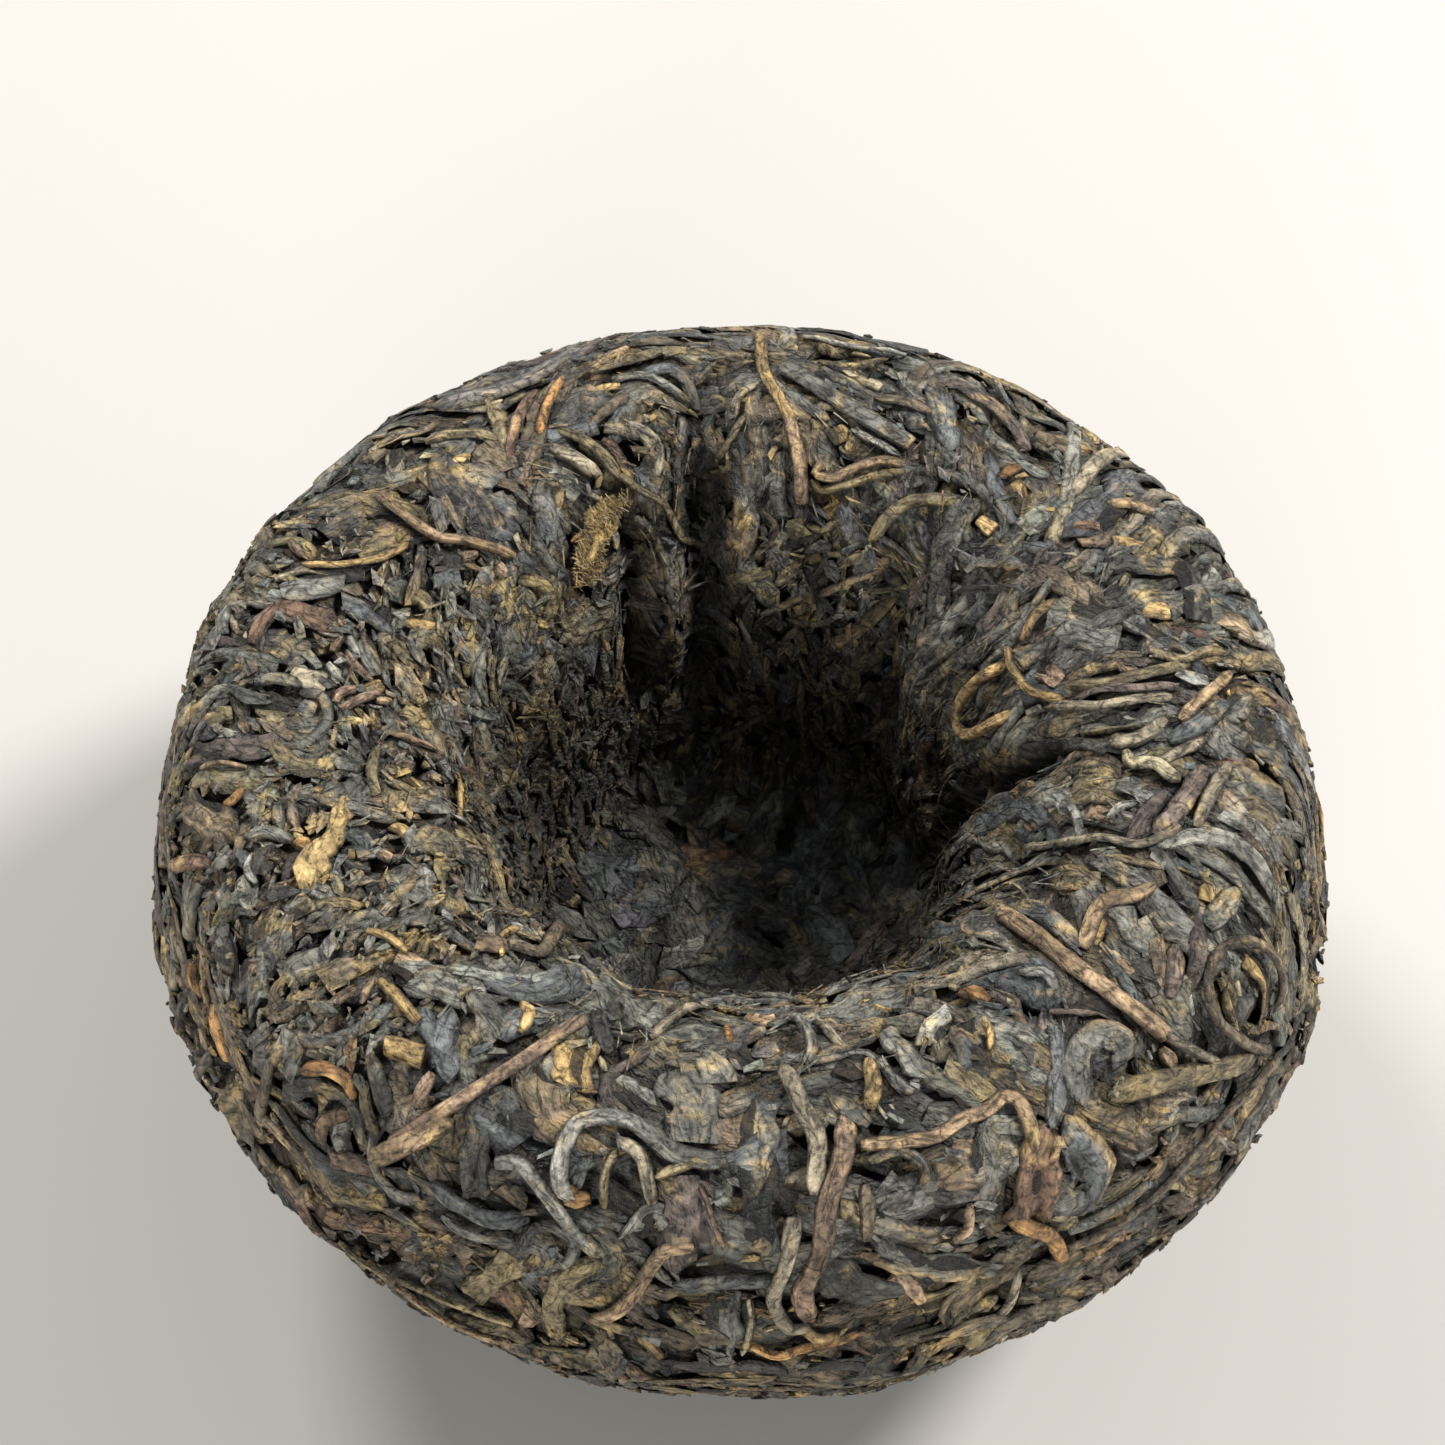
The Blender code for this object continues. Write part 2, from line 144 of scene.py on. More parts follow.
# How each kind is formed: half thickness as a share of its width and at most in mm, level, how blunt
# its ends are and how soon they narrow, ragged edges, relief, how deep the ends dive, and its folds
KINDS = {
    "stem": (0.42, 0.7, 0.05, 0.85, 0.3, 0.05, 0.07, 0.25, 0.0),
    "strand": (0.3, 0.4, 0.0, 0.5, 1.2, 0.12, 0.14, 0.35, 0.16),
    "loop": (0.45, 0.6, 0.2, 0.6, 0.8, 0.06, 0.08, 0.55, 0.0),
    "leaf": (0.08, 0.18, -0.1, 0.85, 0.4, 0.3, 0.28, 0.25, 0.42),
    "bud": (0.2, 0.5, 0.0, 0.35, 1.6, 0.24, 0.2, 0.3, 0.2),
    "fluff": (0.12, 0.3, 0.0, 0.5, 1.0, 0.32, 0.22, 0.3, 0.3),
    "hair": (0.5, 0.2, 0.3, 0.5, 2.0, 0.0, 0.0, 0.3, 0.0),
}
ROUND_KINDS = ("stem", "loop", "hair")

# Strands read off the photograph: name, kind, colour, width in mm, and places in its pixels
TRACED = (
    ("front_left_stem", "stem", "pink_tan", 1.05, ((390, 1145), (444, 1111), (583, 1017))),
    ("stem_behind_end", "stem", "tan", 1.45, ((449, 1119), (426, 1134), (391, 1151), (372, 1160))),
    ("stem_end_stub", "strand", "pink_tan", 1.1, ((432, 1073), (414, 1107))),
    ("front_gold_patch", "leaf", "gold", 2.3, ((580, 1036), (572, 1060), (574, 1086))),
    ("front_round_lump", "leaf", "slate", 2.2, ((540, 1058), (551, 1076), (562, 1094))),
    ("big_loop", "loop", "light_slate", 1.15,
     ((576, 1200), (562, 1191), (560, 1165), (566, 1143), (578, 1122), (603, 1116), (631, 1121),
      (656, 1140), (671, 1157))),
    ("big_loop_foot", "strand", "orange", 1.3, ((566, 1186), (572, 1200), (590, 1200))),
    ("big_loop_run", "strand", "slate", 1.3, ((640, 1122), (669, 1149), (700, 1158), (726, 1160))),
    ("inner_loop", "loop", "grey_tan", 0.95, ((618, 1138), (639, 1155), (648, 1180), (652, 1205))),
    ("sprout", "loop", "olive", 0.6, ((603, 1210), (606, 1172), (616, 1149))),
    ("light_strand", "stem", "light_slate", 0.95,
     ((495, 1163), (520, 1165), (541, 1187), (562, 1216), (583, 1243), (599, 1254))),
    ("light_strand_end", "loop", "cream", 1.0, ((578, 1238), (590, 1248), (602, 1257))),
    ("dark_leaf_west", "leaf", "charcoal", 1.8, ((486, 1107), (474, 1153), (472, 1201))),
    ("slate_flat_leaf", "leaf", "blue_slate", 3.3, ((480, 1105), (500, 1120), (525, 1138))),
    ("wrinkled_fan", "leaf", "slate", 3.6, ((680, 1064), (695, 1100), (700, 1142))),
    ("folded_leaf", "leaf", "light_slate", 2.4, ((612, 1078), (645, 1108), (682, 1142))),
    ("grey_strip_north", "strand", "grey_tan", 0.8, ((650, 1033), (708, 1004))),
    ("wide_slate_strip", "leaf", "blue_slate", 2.3, ((766, 1098), (759, 1174), (754, 1262))),
    ("broken_strip", "strand", "grey_tan", 1.2, ((783, 1062), (799, 1097), (816, 1132), (814, 1195))),
    ("pink_strip", "strand", "pink_tan", 1.35,
     ((847, 1111), (843, 1155), (827, 1203), (820, 1256), (803, 1292), (809, 1324))),
    ("gold_tip_south", "strand", "gold", 1.0, ((868, 1055), (873, 1078), (871, 1107))),
    ("dark_strip_centre", "strand", "charcoal", 1.3, ((831, 1092), (870, 1122))),
    ("grey_stub", "strand", "grey_tan", 1.3, ((793, 1218), (790, 1262))),
    ("brown_strip_centre", "strand", "brown", 1.0, ((866, 1185), (867, 1243))),
    ("plum_leaf", "leaf", "plum", 3.9, ((674, 1176), (694, 1214), (702, 1262))),
    ("plum_leaf_rib", "stem", "red_brown", 0.35, ((700, 1186), (707, 1203), (724, 1250))),
    ("olive_edge", "strand", "olive", 0.75, ((655, 1178), (697, 1159), (728, 1165))),
    ("pale_curl", "leaf", "light_slate", 1.7, ((622, 1250), (640, 1226), (658, 1215), (674, 1236))),
    ("tan_gold_strand", "strand", "tan", 1.0,
     ((694, 1248), (667, 1250), (650, 1269), (633, 1296), (612, 1313), (589, 1322))),
    ("golden_folded_strand", "loop", "tan", 0.95,
     ((861, 1143), (903, 1141), (936, 1135), (962, 1120), (985, 1112), (1003, 1098), (1018, 1101),
      (1031, 1130), (1036, 1150))),
    ("upright_slate", "leaf", "blue_slate", 1.5, ((1061, 1028), (1060, 1070), (1060, 1126))),
    ("red_leaf", "leaf", "red_brown", 3.2, ((1055, 1132), (1040, 1175), (1036, 1228))),
    ("orange_tip", "strand", "orange", 1.1, ((1012, 1222), (1030, 1229), (1050, 1236), (1066, 1262))),
    ("slate_ochre_leaf", "leaf", "slate", 1.7, ((985, 1120), (993, 1170), (989, 1214))),
    ("olive_tan_leaf", "leaf", "olive", 3.2, ((945, 1066), (965, 1080), (988, 1098))),
    ("dark_ring", "strand", "charcoal", 0.9, ((870, 1162), (900, 1150), (925, 1166), (922, 1186))),
    ("ochre_dark_leaf", "leaf", "blue_slate", 2.8, ((1064, 1134), (1100, 1172), (1090, 1212))),
    ("crease_stem_long", "stem", "brown", 0.75, ((1068, 1250), (1140, 1207), (1239, 1098), (1281, 1058))),
    ("crease_stem_short", "stem", "slate", 0.95, ((1070, 1232), (1140, 1190), (1150, 1184))),
    ("tan_hook_south", "strand", "tan", 0.8, ((972, 1206), (966, 1231), (955, 1244))),
    ("right_front_stem", "stem", "tan", 1.25,
     ((1000, 912), (1057, 951), (1107, 987), (1136, 1011), (1168, 1036))),
    ("right_front_stem_tip", "stem", "grey_tan", 0.7, ((1150, 1024), (1180, 1044), (1222, 1065))),
    ("tan_curl", "loop", "tan", 1.15, ((1083, 945), (1096, 912), (1111, 899), (1134, 895), (1155, 883))),
    ("ochre_in_curl", "leaf", "gold", 0.9, ((1088, 945), (1104, 916))),
    ("slate_behind_stem", "strand", "blue_slate", 1.4, ((1015, 903), (1057, 924), (1080, 943))),
    ("mauve_strip_west", "strand", "mauve", 1.15, ((1176, 943), (1171, 997))),
    ("mauve_strip_east", "strand", "plum", 1.15, ((1199, 918), (1192, 988))),
    ("east_loop", "loop", "brown", 0.75,
     ((1230, 943), (1212, 962), (1207, 995), (1220, 1025), (1248, 1045), (1273, 1049))),
    ("east_loop_top", "loop", "brown", 0.7,
     ((1226, 945), (1249, 941), (1270, 956), (1279, 979), (1277, 1012))),
    ("east_gold_leaf", "leaf", "gold", 1.0, ((1247, 957), (1267, 985), (1270, 1022))),
    ("east_fan", "leaf", "olive", 2.8, ((1232, 985), (1240, 1010), (1246, 1034))),
    ("east_slate", "strand", "slate", 1.7, ((1208, 926), (1239, 889))),
    ("east_gold_patch", "leaf", "gold", 1.3, ((1206, 882), (1212, 900))),
    ("arched_leaf", "leaf", "slate", 2.0,
     ((1080, 1102), (1080, 1056), (1096, 1036), (1121, 1038), (1127, 1062))),
    ("olive_stem_east", "strand", "olive", 1.6, ((1111, 1096), (1153, 1083), (1210, 1071), (1256, 1061))),
    ("tan_stub_east", "strand", "tan", 1.1, ((1163, 1047), (1178, 1072))),
    ("mauve_leaf", "leaf", "mauve", 1.7, ((1055, 1000), (1100, 1002), (1134, 1020))),
    ("grey_strip_east", "strand", "light_slate", 0.8, ((1019, 969), (1046, 971), (1057, 987))),
    ("red_ridged_leaf", "leaf", "red_brown", 1.9, ((275, 605), (305, 611), (336, 626))),
    ("red_edge_leaf", "strand", "red_brown", 1.2, ((275, 604), (262, 622), (250, 642))),
    ("slate_over_left", "leaf", "blue_slate", 1.4, ((342, 598), (372, 611), (399, 630))),
    ("pink_bend", "strand", "pink_tan", 0.65, ((347, 648), (356, 665), (374, 678))),
    ("pink_pair_upper", "stem", "pink_tan", 0.75, ((336, 701), (341, 692), (355, 687))),
    ("pink_pair_lower", "stem", "pink_tan", 0.75, ((341, 708), (360, 699), (380, 691))),
    ("pink_nub", "stem", "tan", 0.6, ((377, 699), (391, 700))),
    ("left_gold_north", "leaf", "gold", 1.0, ((368, 689), (384, 681))),
    ("left_gold_high", "leaf", "gold", 0.8, ((405, 621), (436, 625))),
    ("left_gold_east", "leaf", "gold", 1.3, ((406, 774), (424, 788))),
    ("left_gold_line", "strand", "gold", 0.5, ((463, 776), (459, 803), (464, 820))),
    ("left_arc", "strand", "slate", 0.8, ((299, 688), (322, 696), (328, 719), (315, 734), (296, 744))),
    ("olive_yellow_leaf", "leaf", "grey_tan", 1.6, ((290, 668), (307, 673), (326, 680))),
    ("left_tan_line", "stem", "tan", 0.4, ((198, 767), (219, 763), (246, 766))),
    ("left_curl", "strand", "orange", 0.7, ((221, 801), (232, 798), (242, 786))),
    ("left_tan_east", "strand", "tan", 0.65, ((384, 725), (410, 738), (449, 754))),
    ("left_grey_yellow", "strand", "olive", 0.8, ((380, 745), (372, 772), (380, 793))),
    ("yellow_leaf_top", "fluff", "pale_gold", 1.8, ((347, 796), (338, 820), (327, 850))),
    ("yellow_leaf_low", "fluff", "pale_gold", 2.3, ((330, 836), (310, 860), (304, 888))),
    ("yellow_leaf_fold", "leaf", "gold", 1.3, ((298, 862), (314, 870), (328, 876))),
    ("yellow_strand_high", "stem", "gold", 0.6, ((366, 929), (387, 936), (407, 950))),
    ("yellow_strand_low", "stem", "gold", 0.8, ((379, 979), (395, 993), (418, 1020))),
    ("tan_curl_left", "strand", "tan", 0.55, ((330, 963), (326, 978), (333, 994))),
    ("tan_curl_left_low", "strand", "tan", 0.6, ((372, 977), (359, 1002))),
    ("left_lump", "leaf", "slate", 3.0, ((415, 975), (435, 980), (458, 988))),
    ("left_olive_gold", "leaf", "gold", 1.3, ((470, 938), (488, 946))),
    ("orange_nub_left", "leaf", "orange", 1.1, ((296, 836), (310, 845))),
    ("ochre_left", "leaf", "gold", 1.2, ((396, 822), (411, 832))),
    ("tan_left_east", "strand", "tan", 0.6, ((424, 829), (447, 829))),
    ("rust_left_edge", "leaf", "orange", 1.1, ((212, 868), (219, 887))),
    ("orange_curl", "strand", "orange", 1.1, ((299, 1072), (322, 1068), (345, 1081), (350, 1100))),
    ("dark_arc_dome", "leaf", "charcoal", 1.4,
     ((284, 1121), (284, 1100), (305, 1087), (334, 1094), (353, 1115), (359, 1144))),
    ("red_inside_arc", "strand", "red_brown", 1.0, ((319, 1147), (326, 1122), (347, 1114))),
    ("olive_twist", "strand", "olive", 1.0, ((361, 1082), (366, 1107), (373, 1136))),
    ("charcoal_west", "strand", "charcoal", 1.3, ((368, 1055), (380, 1086), (384, 1117))),
    ("gold_tan_patch", "leaf", "gold", 2.0, ((384, 1044), (404, 1050), (422, 1054))),
    ("dome_orange_strip", "leaf", "orange", 1.3, ((210, 1006), (216, 1034), (224, 1062))),
    ("dome_brown_strip", "strand", "brown", 0.9, ((284, 1046), (265, 1090), (257, 1124))),
    ("low_slate_upper", "strand", "blue_slate", 1.15, ((432, 1184), (463, 1207), (491, 1219), (528, 1221))),
    ("low_slate_lower", "strand", "slate", 1.0, ((441, 1217), (472, 1232), (514, 1241))),
    ("low_brown_leaf", "leaf", "brown", 1.9, ((494, 1192), (508, 1200), (524, 1212))),
    ("low_olive_leaf", "leaf", "olive", 2.3, ((520, 1256), (491, 1279), (474, 1300))),
    ("low_ring", "strand", "slate", 0.8,
     ((520, 1255), (530, 1232), (552, 1227), (573, 1240), (571, 1260), (552, 1268))),
    ("low_ridged", "leaf", "olive", 1.9, ((602, 1264), (568, 1281), (551, 1304), (549, 1339))),
    ("low_pink_nub", "leaf", "pink_tan", 1.5, ((521, 1316), (535, 1328))),
    ("low_crease_upper", "stem", "olive", 0.55, ((338, 1243), (396, 1279), (453, 1303), (512, 1326))),
    ("low_crease_lower", "stem", "tan", 0.6, ((367, 1262), (434, 1312), (510, 1346))),
    ("low_flat_slate", "strand", "blue_slate", 1.2, ((673, 1290), (713, 1282), (776, 1282))),
    ("hook_strip", "loop", "grey_tan", 1.0,
     ((797, 1219), (784, 1267), (773, 1296), (786, 1322), (809, 1333))),
    ("hook_strip_end", "loop", "gold", 0.85, ((800, 1330), (820, 1337), (840, 1338))),
    ("low_dark_leaf", "leaf", "charcoal", 3.0, ((824, 1272), (856, 1292), (902, 1296))),
    ("low_orange_line", "strand", "orange", 0.7, ((751, 1349), (780, 1355), (809, 1347), (862, 1338))),
    ("low_folded", "leaf", "slate", 2.0, ((722, 1297), (725, 1334), (722, 1366))),
    ("low_edge_loop", "strand", "grey_tan", 0.5, ((749, 1301), (751, 1324), (742, 1359))),
    ("back_left_fan", "leaf", "brown", 1.9, ((558, 378), (540, 408), (528, 440), (516, 480))),
    ("back_left_fan_fold", "strand", "red_brown", 0.9, ((536, 388), (518, 418), (509, 458))),
    ("back_left_fan_edge", "strand", "orange", 0.8, ((563, 374), (547, 404), (539, 432))),
    ("back_olive_grey", "leaf", "olive", 1.5, ((490, 396), (501, 423), (514, 448))),
    ("back_ridged_grey", "strand", "grey_tan", 1.15, ((551, 446), (576, 459), (601, 476))),
    ("back_olive_tan", "strand", "olive", 0.9, ((558, 427), (585, 440), (604, 456), (620, 477))),
    ("back_arch_upper", "strand", "slate", 0.7, ((612, 376), (643, 374), (671, 387), (697, 405))),
    ("back_arch_lower", "strand", "blue_slate", 1.0, ((640, 372), (667, 368), (687, 384), (697, 410))),
    ("back_gold", "leaf", "gold", 0.8, ((597, 385), (620, 382))),
    ("back_fork", "stem", "olive", 0.6, ((620, 474), (639, 490), (664, 505), (683, 538), (700, 545))),
    ("back_gold_line", "strand", "olive", 0.6, ((746, 412), (729, 442), (714, 465))),
    ("back_arch_east", "strand", "grey_tan", 0.7, ((758, 380), (738, 396), (733, 417))),
    ("back_slate_east", "leaf", "slate", 1.4, ((776, 450), (773, 519))),
    ("golden_bud", "bud", "bud_gold", 2.3, ((618, 498), (600, 522), (588, 550), (586, 582))),
    ("golden_bud_edge", "strand", "orange", 0.5, ((597, 523), (584, 533), (573, 542))),
    ("back_slate_ochre", "leaf", "slate", 2.3, ((550, 477), (543, 511))),
    ("back_blue_patch", "leaf", "blue_slate", 3.4, ((474, 500), (495, 509), (522, 520))),
    ("left_back_stem", "stem", "tan", 0.8,
     ((378, 493), (430, 533), (465, 540), (499, 550), (515, 556))),
    ("back_pink_nub", "stem", "pink_tan", 1.0, ((497, 564), (505, 575))),
    ("back_stem_upper", "stem", "gold", 0.95, ((761, 332), (763, 366), (778, 395), (792, 424))),
    ("back_stem_lower", "stem", "pink_tan", 1.1, ((789, 418), (799, 460), (802, 504))),
    ("back_grey_stem", "stem", "slate", 1.4, ((782, 364), (817, 385), (855, 410), (908, 441))),
    ("back_grey_stem_end", "stem", "tan", 1.3, ((898, 434), (911, 443))),
    ("back_pale_line", "stem", "light_slate", 0.45, ((803, 334), (832, 343), (870, 349), (907, 353))),
    ("back_olive_line", "stem", "olive", 0.5, ((820, 359), (845, 365), (864, 363), (886, 357))),
    ("back_cream_stub", "stem", "cream", 0.9, ((868, 380), (881, 386))),
    ("back_gold_spot", "leaf", "gold", 1.3, ((834, 424), (842, 440))),
    ("back_curl_inner", "loop", "tan", 0.75,
     ((821, 462), (815, 474), (832, 478), (855, 468), (880, 461), (905, 463))),
    ("back_curl_outer", "strand", "olive", 0.7,
     ((811, 479), (822, 490), (847, 485), (874, 475), (905, 470))),
    ("gold_swirl", "leaf", "gold", 1.5, ((808, 500), (824, 494), (836, 504), (826, 516))),
    ("gold_swirl_low", "strand", "olive", 0.7, ((806, 526), (822, 530), (838, 520))),
    ("back_orange", "strand", "orange", 0.9, ((1021, 463), (1000, 474))),
    ("back_gold_olive", "leaf", "gold", 2.0, ((1010, 480), (1017, 493), (1026, 508))),
    ("back_gold_blob", "leaf", "gold", 1.3, ((978, 520), (992, 530))),
    ("back_grey_olive", "strand", "olive", 1.0, ((956, 500), (912, 502), (889, 516), (869, 542))),
    ("back_slate_west", "leaf", "slate", 1.4, ((974, 496), (960, 521), (946, 550))),
    ("back_mauve", "strand", "mauve", 1.0, ((937, 380), (960, 384), (975, 395), (998, 407), (1029, 447))),
    ("back_brown_tan", "strand", "brown", 0.9, ((876, 395), (905, 399), (931, 408))),
    ("back_dark_strip", "leaf", "charcoal", 1.6, ((778, 452), (780, 516))),
    ("back_coil", "strand", "light_slate", 0.6, ((851, 428), (874, 441), (899, 455))),
    ("right_back_slate", "leaf", "blue_slate", 2.1, ((959, 558), (1007, 553), (1051, 557))),
    ("right_back_coil", "leaf", "charcoal", 1.4, ((951, 593), (1007, 594), (1022, 586))),
    ("right_back_brown", "leaf", "brown", 1.7, ((1027, 567), (1054, 579), (1083, 592), (1104, 600))),
    ("right_back_ochre", "strand", "gold", 0.8, ((1054, 598), (1037, 614), (1019, 639))),
    ("big_dome_leaf", "leaf", "slate", 4.0, ((1046, 618), (1083, 625), (1120, 632))),
    ("right_back_slate_east", "leaf", "slate", 1.8, ((1121, 609), (1156, 629), (1186, 644))),
    ("right_back_gold", "leaf", "gold", 1.2, ((1147, 604), (1170, 609))),
    ("right_back_gold_high", "leaf", "gold", 1.3, ((1113, 537), (1145, 541))),
    ("arched_charcoal", "leaf", "charcoal", 1.7,
     ((1108, 560), (1150, 563), (1179, 564), (1195, 588), (1199, 616))),
    ("right_back_tan", "strand", "tan", 0.9, ((1108, 501), (1131, 503), (1154, 510))),
    ("right_back_red", "leaf", "red_brown", 1.2, ((1066, 520), (1100, 524))),
    ("olive_yellow_east", "strand", "olive", 0.75, ((1150, 648), (1179, 658), (1207, 650), (1232, 650))),
    ("tan_small_ring", "strand", "tan", 0.6, ((1117, 659), (1124, 669), (1142, 668))),
    ("long_charcoal", "leaf", "charcoal", 2.0, ((969, 497), (949, 537), (938, 579), (933, 616))),
    ("olive_brown_east", "strand", "olive", 0.85, ((1062, 685), (1102, 683), (1150, 671), (1190, 661))),
    ("mauve_east", "strand", "mauve", 0.7, ((1073, 698), (1102, 688), (1140, 687), (1177, 682))),
    ("gold_hook", "loop", "gold", 0.9,
     ((1004, 663), (978, 682), (963, 702), (961, 725), (970, 735), (987, 728), (1009, 713))),
    ("gold_hook_arm", "loop", "gold", 0.7, ((1004, 646), (1014, 669), (1033, 692), (1064, 700))),
    ("pink_piece_east", "leaf", "pink_tan", 1.5, ((1034, 668), (1058, 680))),
    ("grey_olive_east", "strand", "grey_tan", 0.75, ((1039, 706), (1083, 706), (1121, 702), (1173, 693))),
    ("tan_yellow_east", "strand", "tan", 0.95, ((1232, 670), (1207, 693), (1181, 718))),
    ("cream_curl", "loop", "cream", 1.0,
     ((1126, 749), (1132, 763), (1154, 763), (1171, 773), (1182, 776))),
    ("cream_curl_branch", "strand", "grey_tan", 0.8, ((1154, 763), (1179, 750), (1206, 736))),
    ("mauve_arc_outer", "strand", "mauve", 1.4, ((1205, 765), (1180, 803), (1155, 834))),
    ("mauve_arc_inner", "strand", "plum", 1.1, ((1166, 789), (1146, 813), (1128, 840))),
    ("grey_tan_east", "strand", "grey_tan", 1.0, ((1231, 761), (1210, 794), (1197, 825))),
    ("long_light_strand", "stem", "grey_tan", 0.75,
     ((1024, 847), (1064, 843), (1102, 838), (1140, 843), (1181, 825))),
    ("olive_yellow_low", "strand", "olive", 0.55, ((1106, 853), (1140, 861), (1169, 865))),
    ("forked_light", "strand", "light_slate", 0.8, ((1049, 801), (1072, 809), (1078, 834))),
    ("charcoal_curl", "strand", "charcoal", 0.9, ((1014, 752), (1037, 751), (1064, 746), (1104, 750))),
    ("pink_nub_east", "leaf", "tan", 1.5, ((1014, 784), (1030, 793))),
    ("pink_nub_low", "leaf", "pink_tan", 1.1, ((1020, 811), (1034, 834))),
    ("lip_stem", "stem", "brown", 1.0, ((508, 944), (550, 942), (592, 945))),
    ("hollow_red_bit", "leaf", "red_brown", 1.0, ((648, 680), (662, 687))),
    ("hollow_strand", "strand", "brown", 0.8, ((800, 680), (803, 720), (805, 765))),
    ("gold_bit_on_lip", "strand", "gold", 0.7, ((502, 934), (521, 925))),
    ("yellow_mass_west", "leaf", "tan", 1.8, ((394, 956), (410, 964), (424, 972))),
    ("olive_strip_by_lump", "strand", "olive", 0.7, ((453, 998), (472, 984))),
    ("blue_leaf_south_west", "leaf", "blue_slate", 2.6, ((438, 1008), (448, 1038), (460, 1066))),
    ("slate_leaf_south_west", "leaf", "slate", 2.6, ((476, 990), (490, 1010), (502, 1030))),
    ("ochre_on_slate", "leaf", "gold", 1.1, ((498, 980), (510, 998))),
    ("yellow_twist", "strand", "gold", 0.8, ((522, 1000), (530, 1012), (519, 1030))),
    ("big_lip_leaf", "leaf", "slate", 4.6, ((600, 978), (632, 992), (666, 1014))),
    ("dark_by_lip_leaf", "strand", "charcoal", 1.0, ((596, 1004), (602, 1028), (610, 1050))),
    ("cream_fluff", "strand", "cream", 0.5, ((600, 1054), (606, 1068))),
    ("grey_curl_south", "loop", "light_slate", 0.8,
     ((783, 1016), (796, 1018), (808, 1034), (812, 1050), (804, 1062))),
    ("cream_strip_south", "strand", "grey_tan", 0.8, ((815, 1014), (828, 1030), (842, 1044))),
    ("pink_leaf_south", "leaf", "pink_tan", 1.3, ((838, 1056), (850, 1064), (864, 1072))),
    ("gold_leaf_by_lip", "leaf", "gold", 1.3, ((852, 1004), (874, 998), (896, 1004))),
    ("olive_blob_south", "leaf", "olive", 1.4, ((866, 1026), (878, 1034))),
    ("long_grey_tan_south", "leaf", "slate", 1.5, ((884, 1030), (904, 1048), (928, 1074))),
    ("grey_curl_south_east", "leaf", "light_slate", 1.4, ((948, 1008), (932, 1022), (926, 1042))),
    ("blue_leaf_south_east", "leaf", "blue_slate", 2.2, ((966, 1016), (974, 1044), (980, 1074))),
    ("gold_streak_south_east", "strand", "gold", 0.6, ((984, 1016), (990, 1032), (990, 1048))),
    ("orange_streak_south_east", "strand", "orange", 1.0, ((958, 988), (974, 991), (990, 998))),
    ("tan_leaf_on_lip", "leaf", "tan", 1.0, ((886, 966), (896, 956), (906, 948))),
    ("orange_fleck_south", "strand", "orange", 0.6, ((726, 1022), (730, 1040))),
    ("slate_strip_south", "leaf", "slate", 1.6, ((722, 1024), (736, 1044), (748, 1066))),
    ("slate_leaf_south", "leaf", "slate", 2.3, ((702, 1050), (714, 1064), (722, 1080))),
    ("tan_leaf_south", "leaf", "tan", 1.0, ((750, 1012), (762, 1018), (774, 1016))),
    ("pale_leaf_on_lip", "leaf", "light_slate", 1.3, ((702, 1002), (716, 994), (730, 1000))),
    ("hollow_wall_leaf", "leaf", "plum", 3.2, ((846, 972), (866, 950), (886, 926))),
    ("low_grey_strip", "leaf", "slate", 1.8, ((868, 1254), (900, 1264), (950, 1270), (1000, 1274))),
    ("low_pink_wedge", "leaf", "pink_tan", 1.2, ((894, 1280), (908, 1288), (924, 1302))),
    ("low_brown_block", "leaf", "brown", 1.9, ((1030, 1284), (1056, 1270), (1086, 1256))),
    ("low_olive_mass", "leaf", "olive", 2.4, ((924, 1308), (950, 1298), (978, 1286))),
    ("low_diagonal_strip", "strand", "grey_tan", 0.8, ((1024, 1270), (1012, 1298), (1000, 1324))),
    ("low_upright_stub", "leaf", "grey_tan", 1.1, ((886, 1332), (880, 1360))),
    ("gold_edge_north_west", "leaf", "gold", 0.9, ((436, 464), (452, 458), (470, 455))),
    ("grey_leaf_north_west", "leaf", "slate", 1.8, ((450, 472), (478, 468), (500, 480))),
    ("brown_leaf_north_west", "leaf", "brown", 2.4, ((478, 446), (492, 458), (504, 470))),
    ("olive_strip_north_west", "strand", "olive", 0.9, ((424, 439), (452, 434), (480, 433), (497, 438))),
    ("grey_upright_north_west", "leaf", "grey_tan", 1.3, ((394, 444), (392, 474))),
    ("orange_lump_north_west", "leaf", "orange", 1.0, ((386, 482), (400, 480), (414, 486))),
    ("blue_leaf_north_west", "leaf", "blue_slate", 2.8, ((326, 478), (350, 474), (376, 466))),
    ("dark_leaf_north_west", "leaf", "charcoal", 2.4, ((322, 530), (344, 518), (364, 508))),
    ("olive_leaf_north_west", "leaf", "olive", 2.0, ((356, 550), (382, 545), (404, 536))),
    ("gold_rim_north_west", "strand", "gold", 0.6,
     ((302, 562), (340, 563), (376, 558), (398, 550), (409, 540))),
    ("grey_strip_north_west", "leaf", "light_slate", 1.3, ((304, 568), (336, 570), (364, 572))),
    ("pink_bit_north_west", "leaf", "pink_tan", 0.9, ((464, 556), (478, 552))),
    ("ochre_leaf_west", "leaf", "olive", 1.5, ((410, 590), (424, 596), (434, 606))),
    ("silver_bit_west", "leaf", "light_slate", 0.8, ((398, 615), (412, 611))),
    ("blue_patch_west", "leaf", "blue_slate", 2.0, ((442, 592), (464, 580))),
    ("brown_olive_east", "leaf", "brown", 1.2, ((1142, 672), (1170, 666), (1194, 664))),
    ("slate_strip_east", "leaf", "slate", 1.6, ((1080, 724), (1120, 722), (1164, 706))),
    ("olive_strip_east", "strand", "grey_tan", 1.1, ((1110, 742), (1140, 738), (1166, 716))),
    ("blue_strip_east", "strand", "blue_slate", 1.3, ((1168, 738), (1200, 722), (1228, 700))),
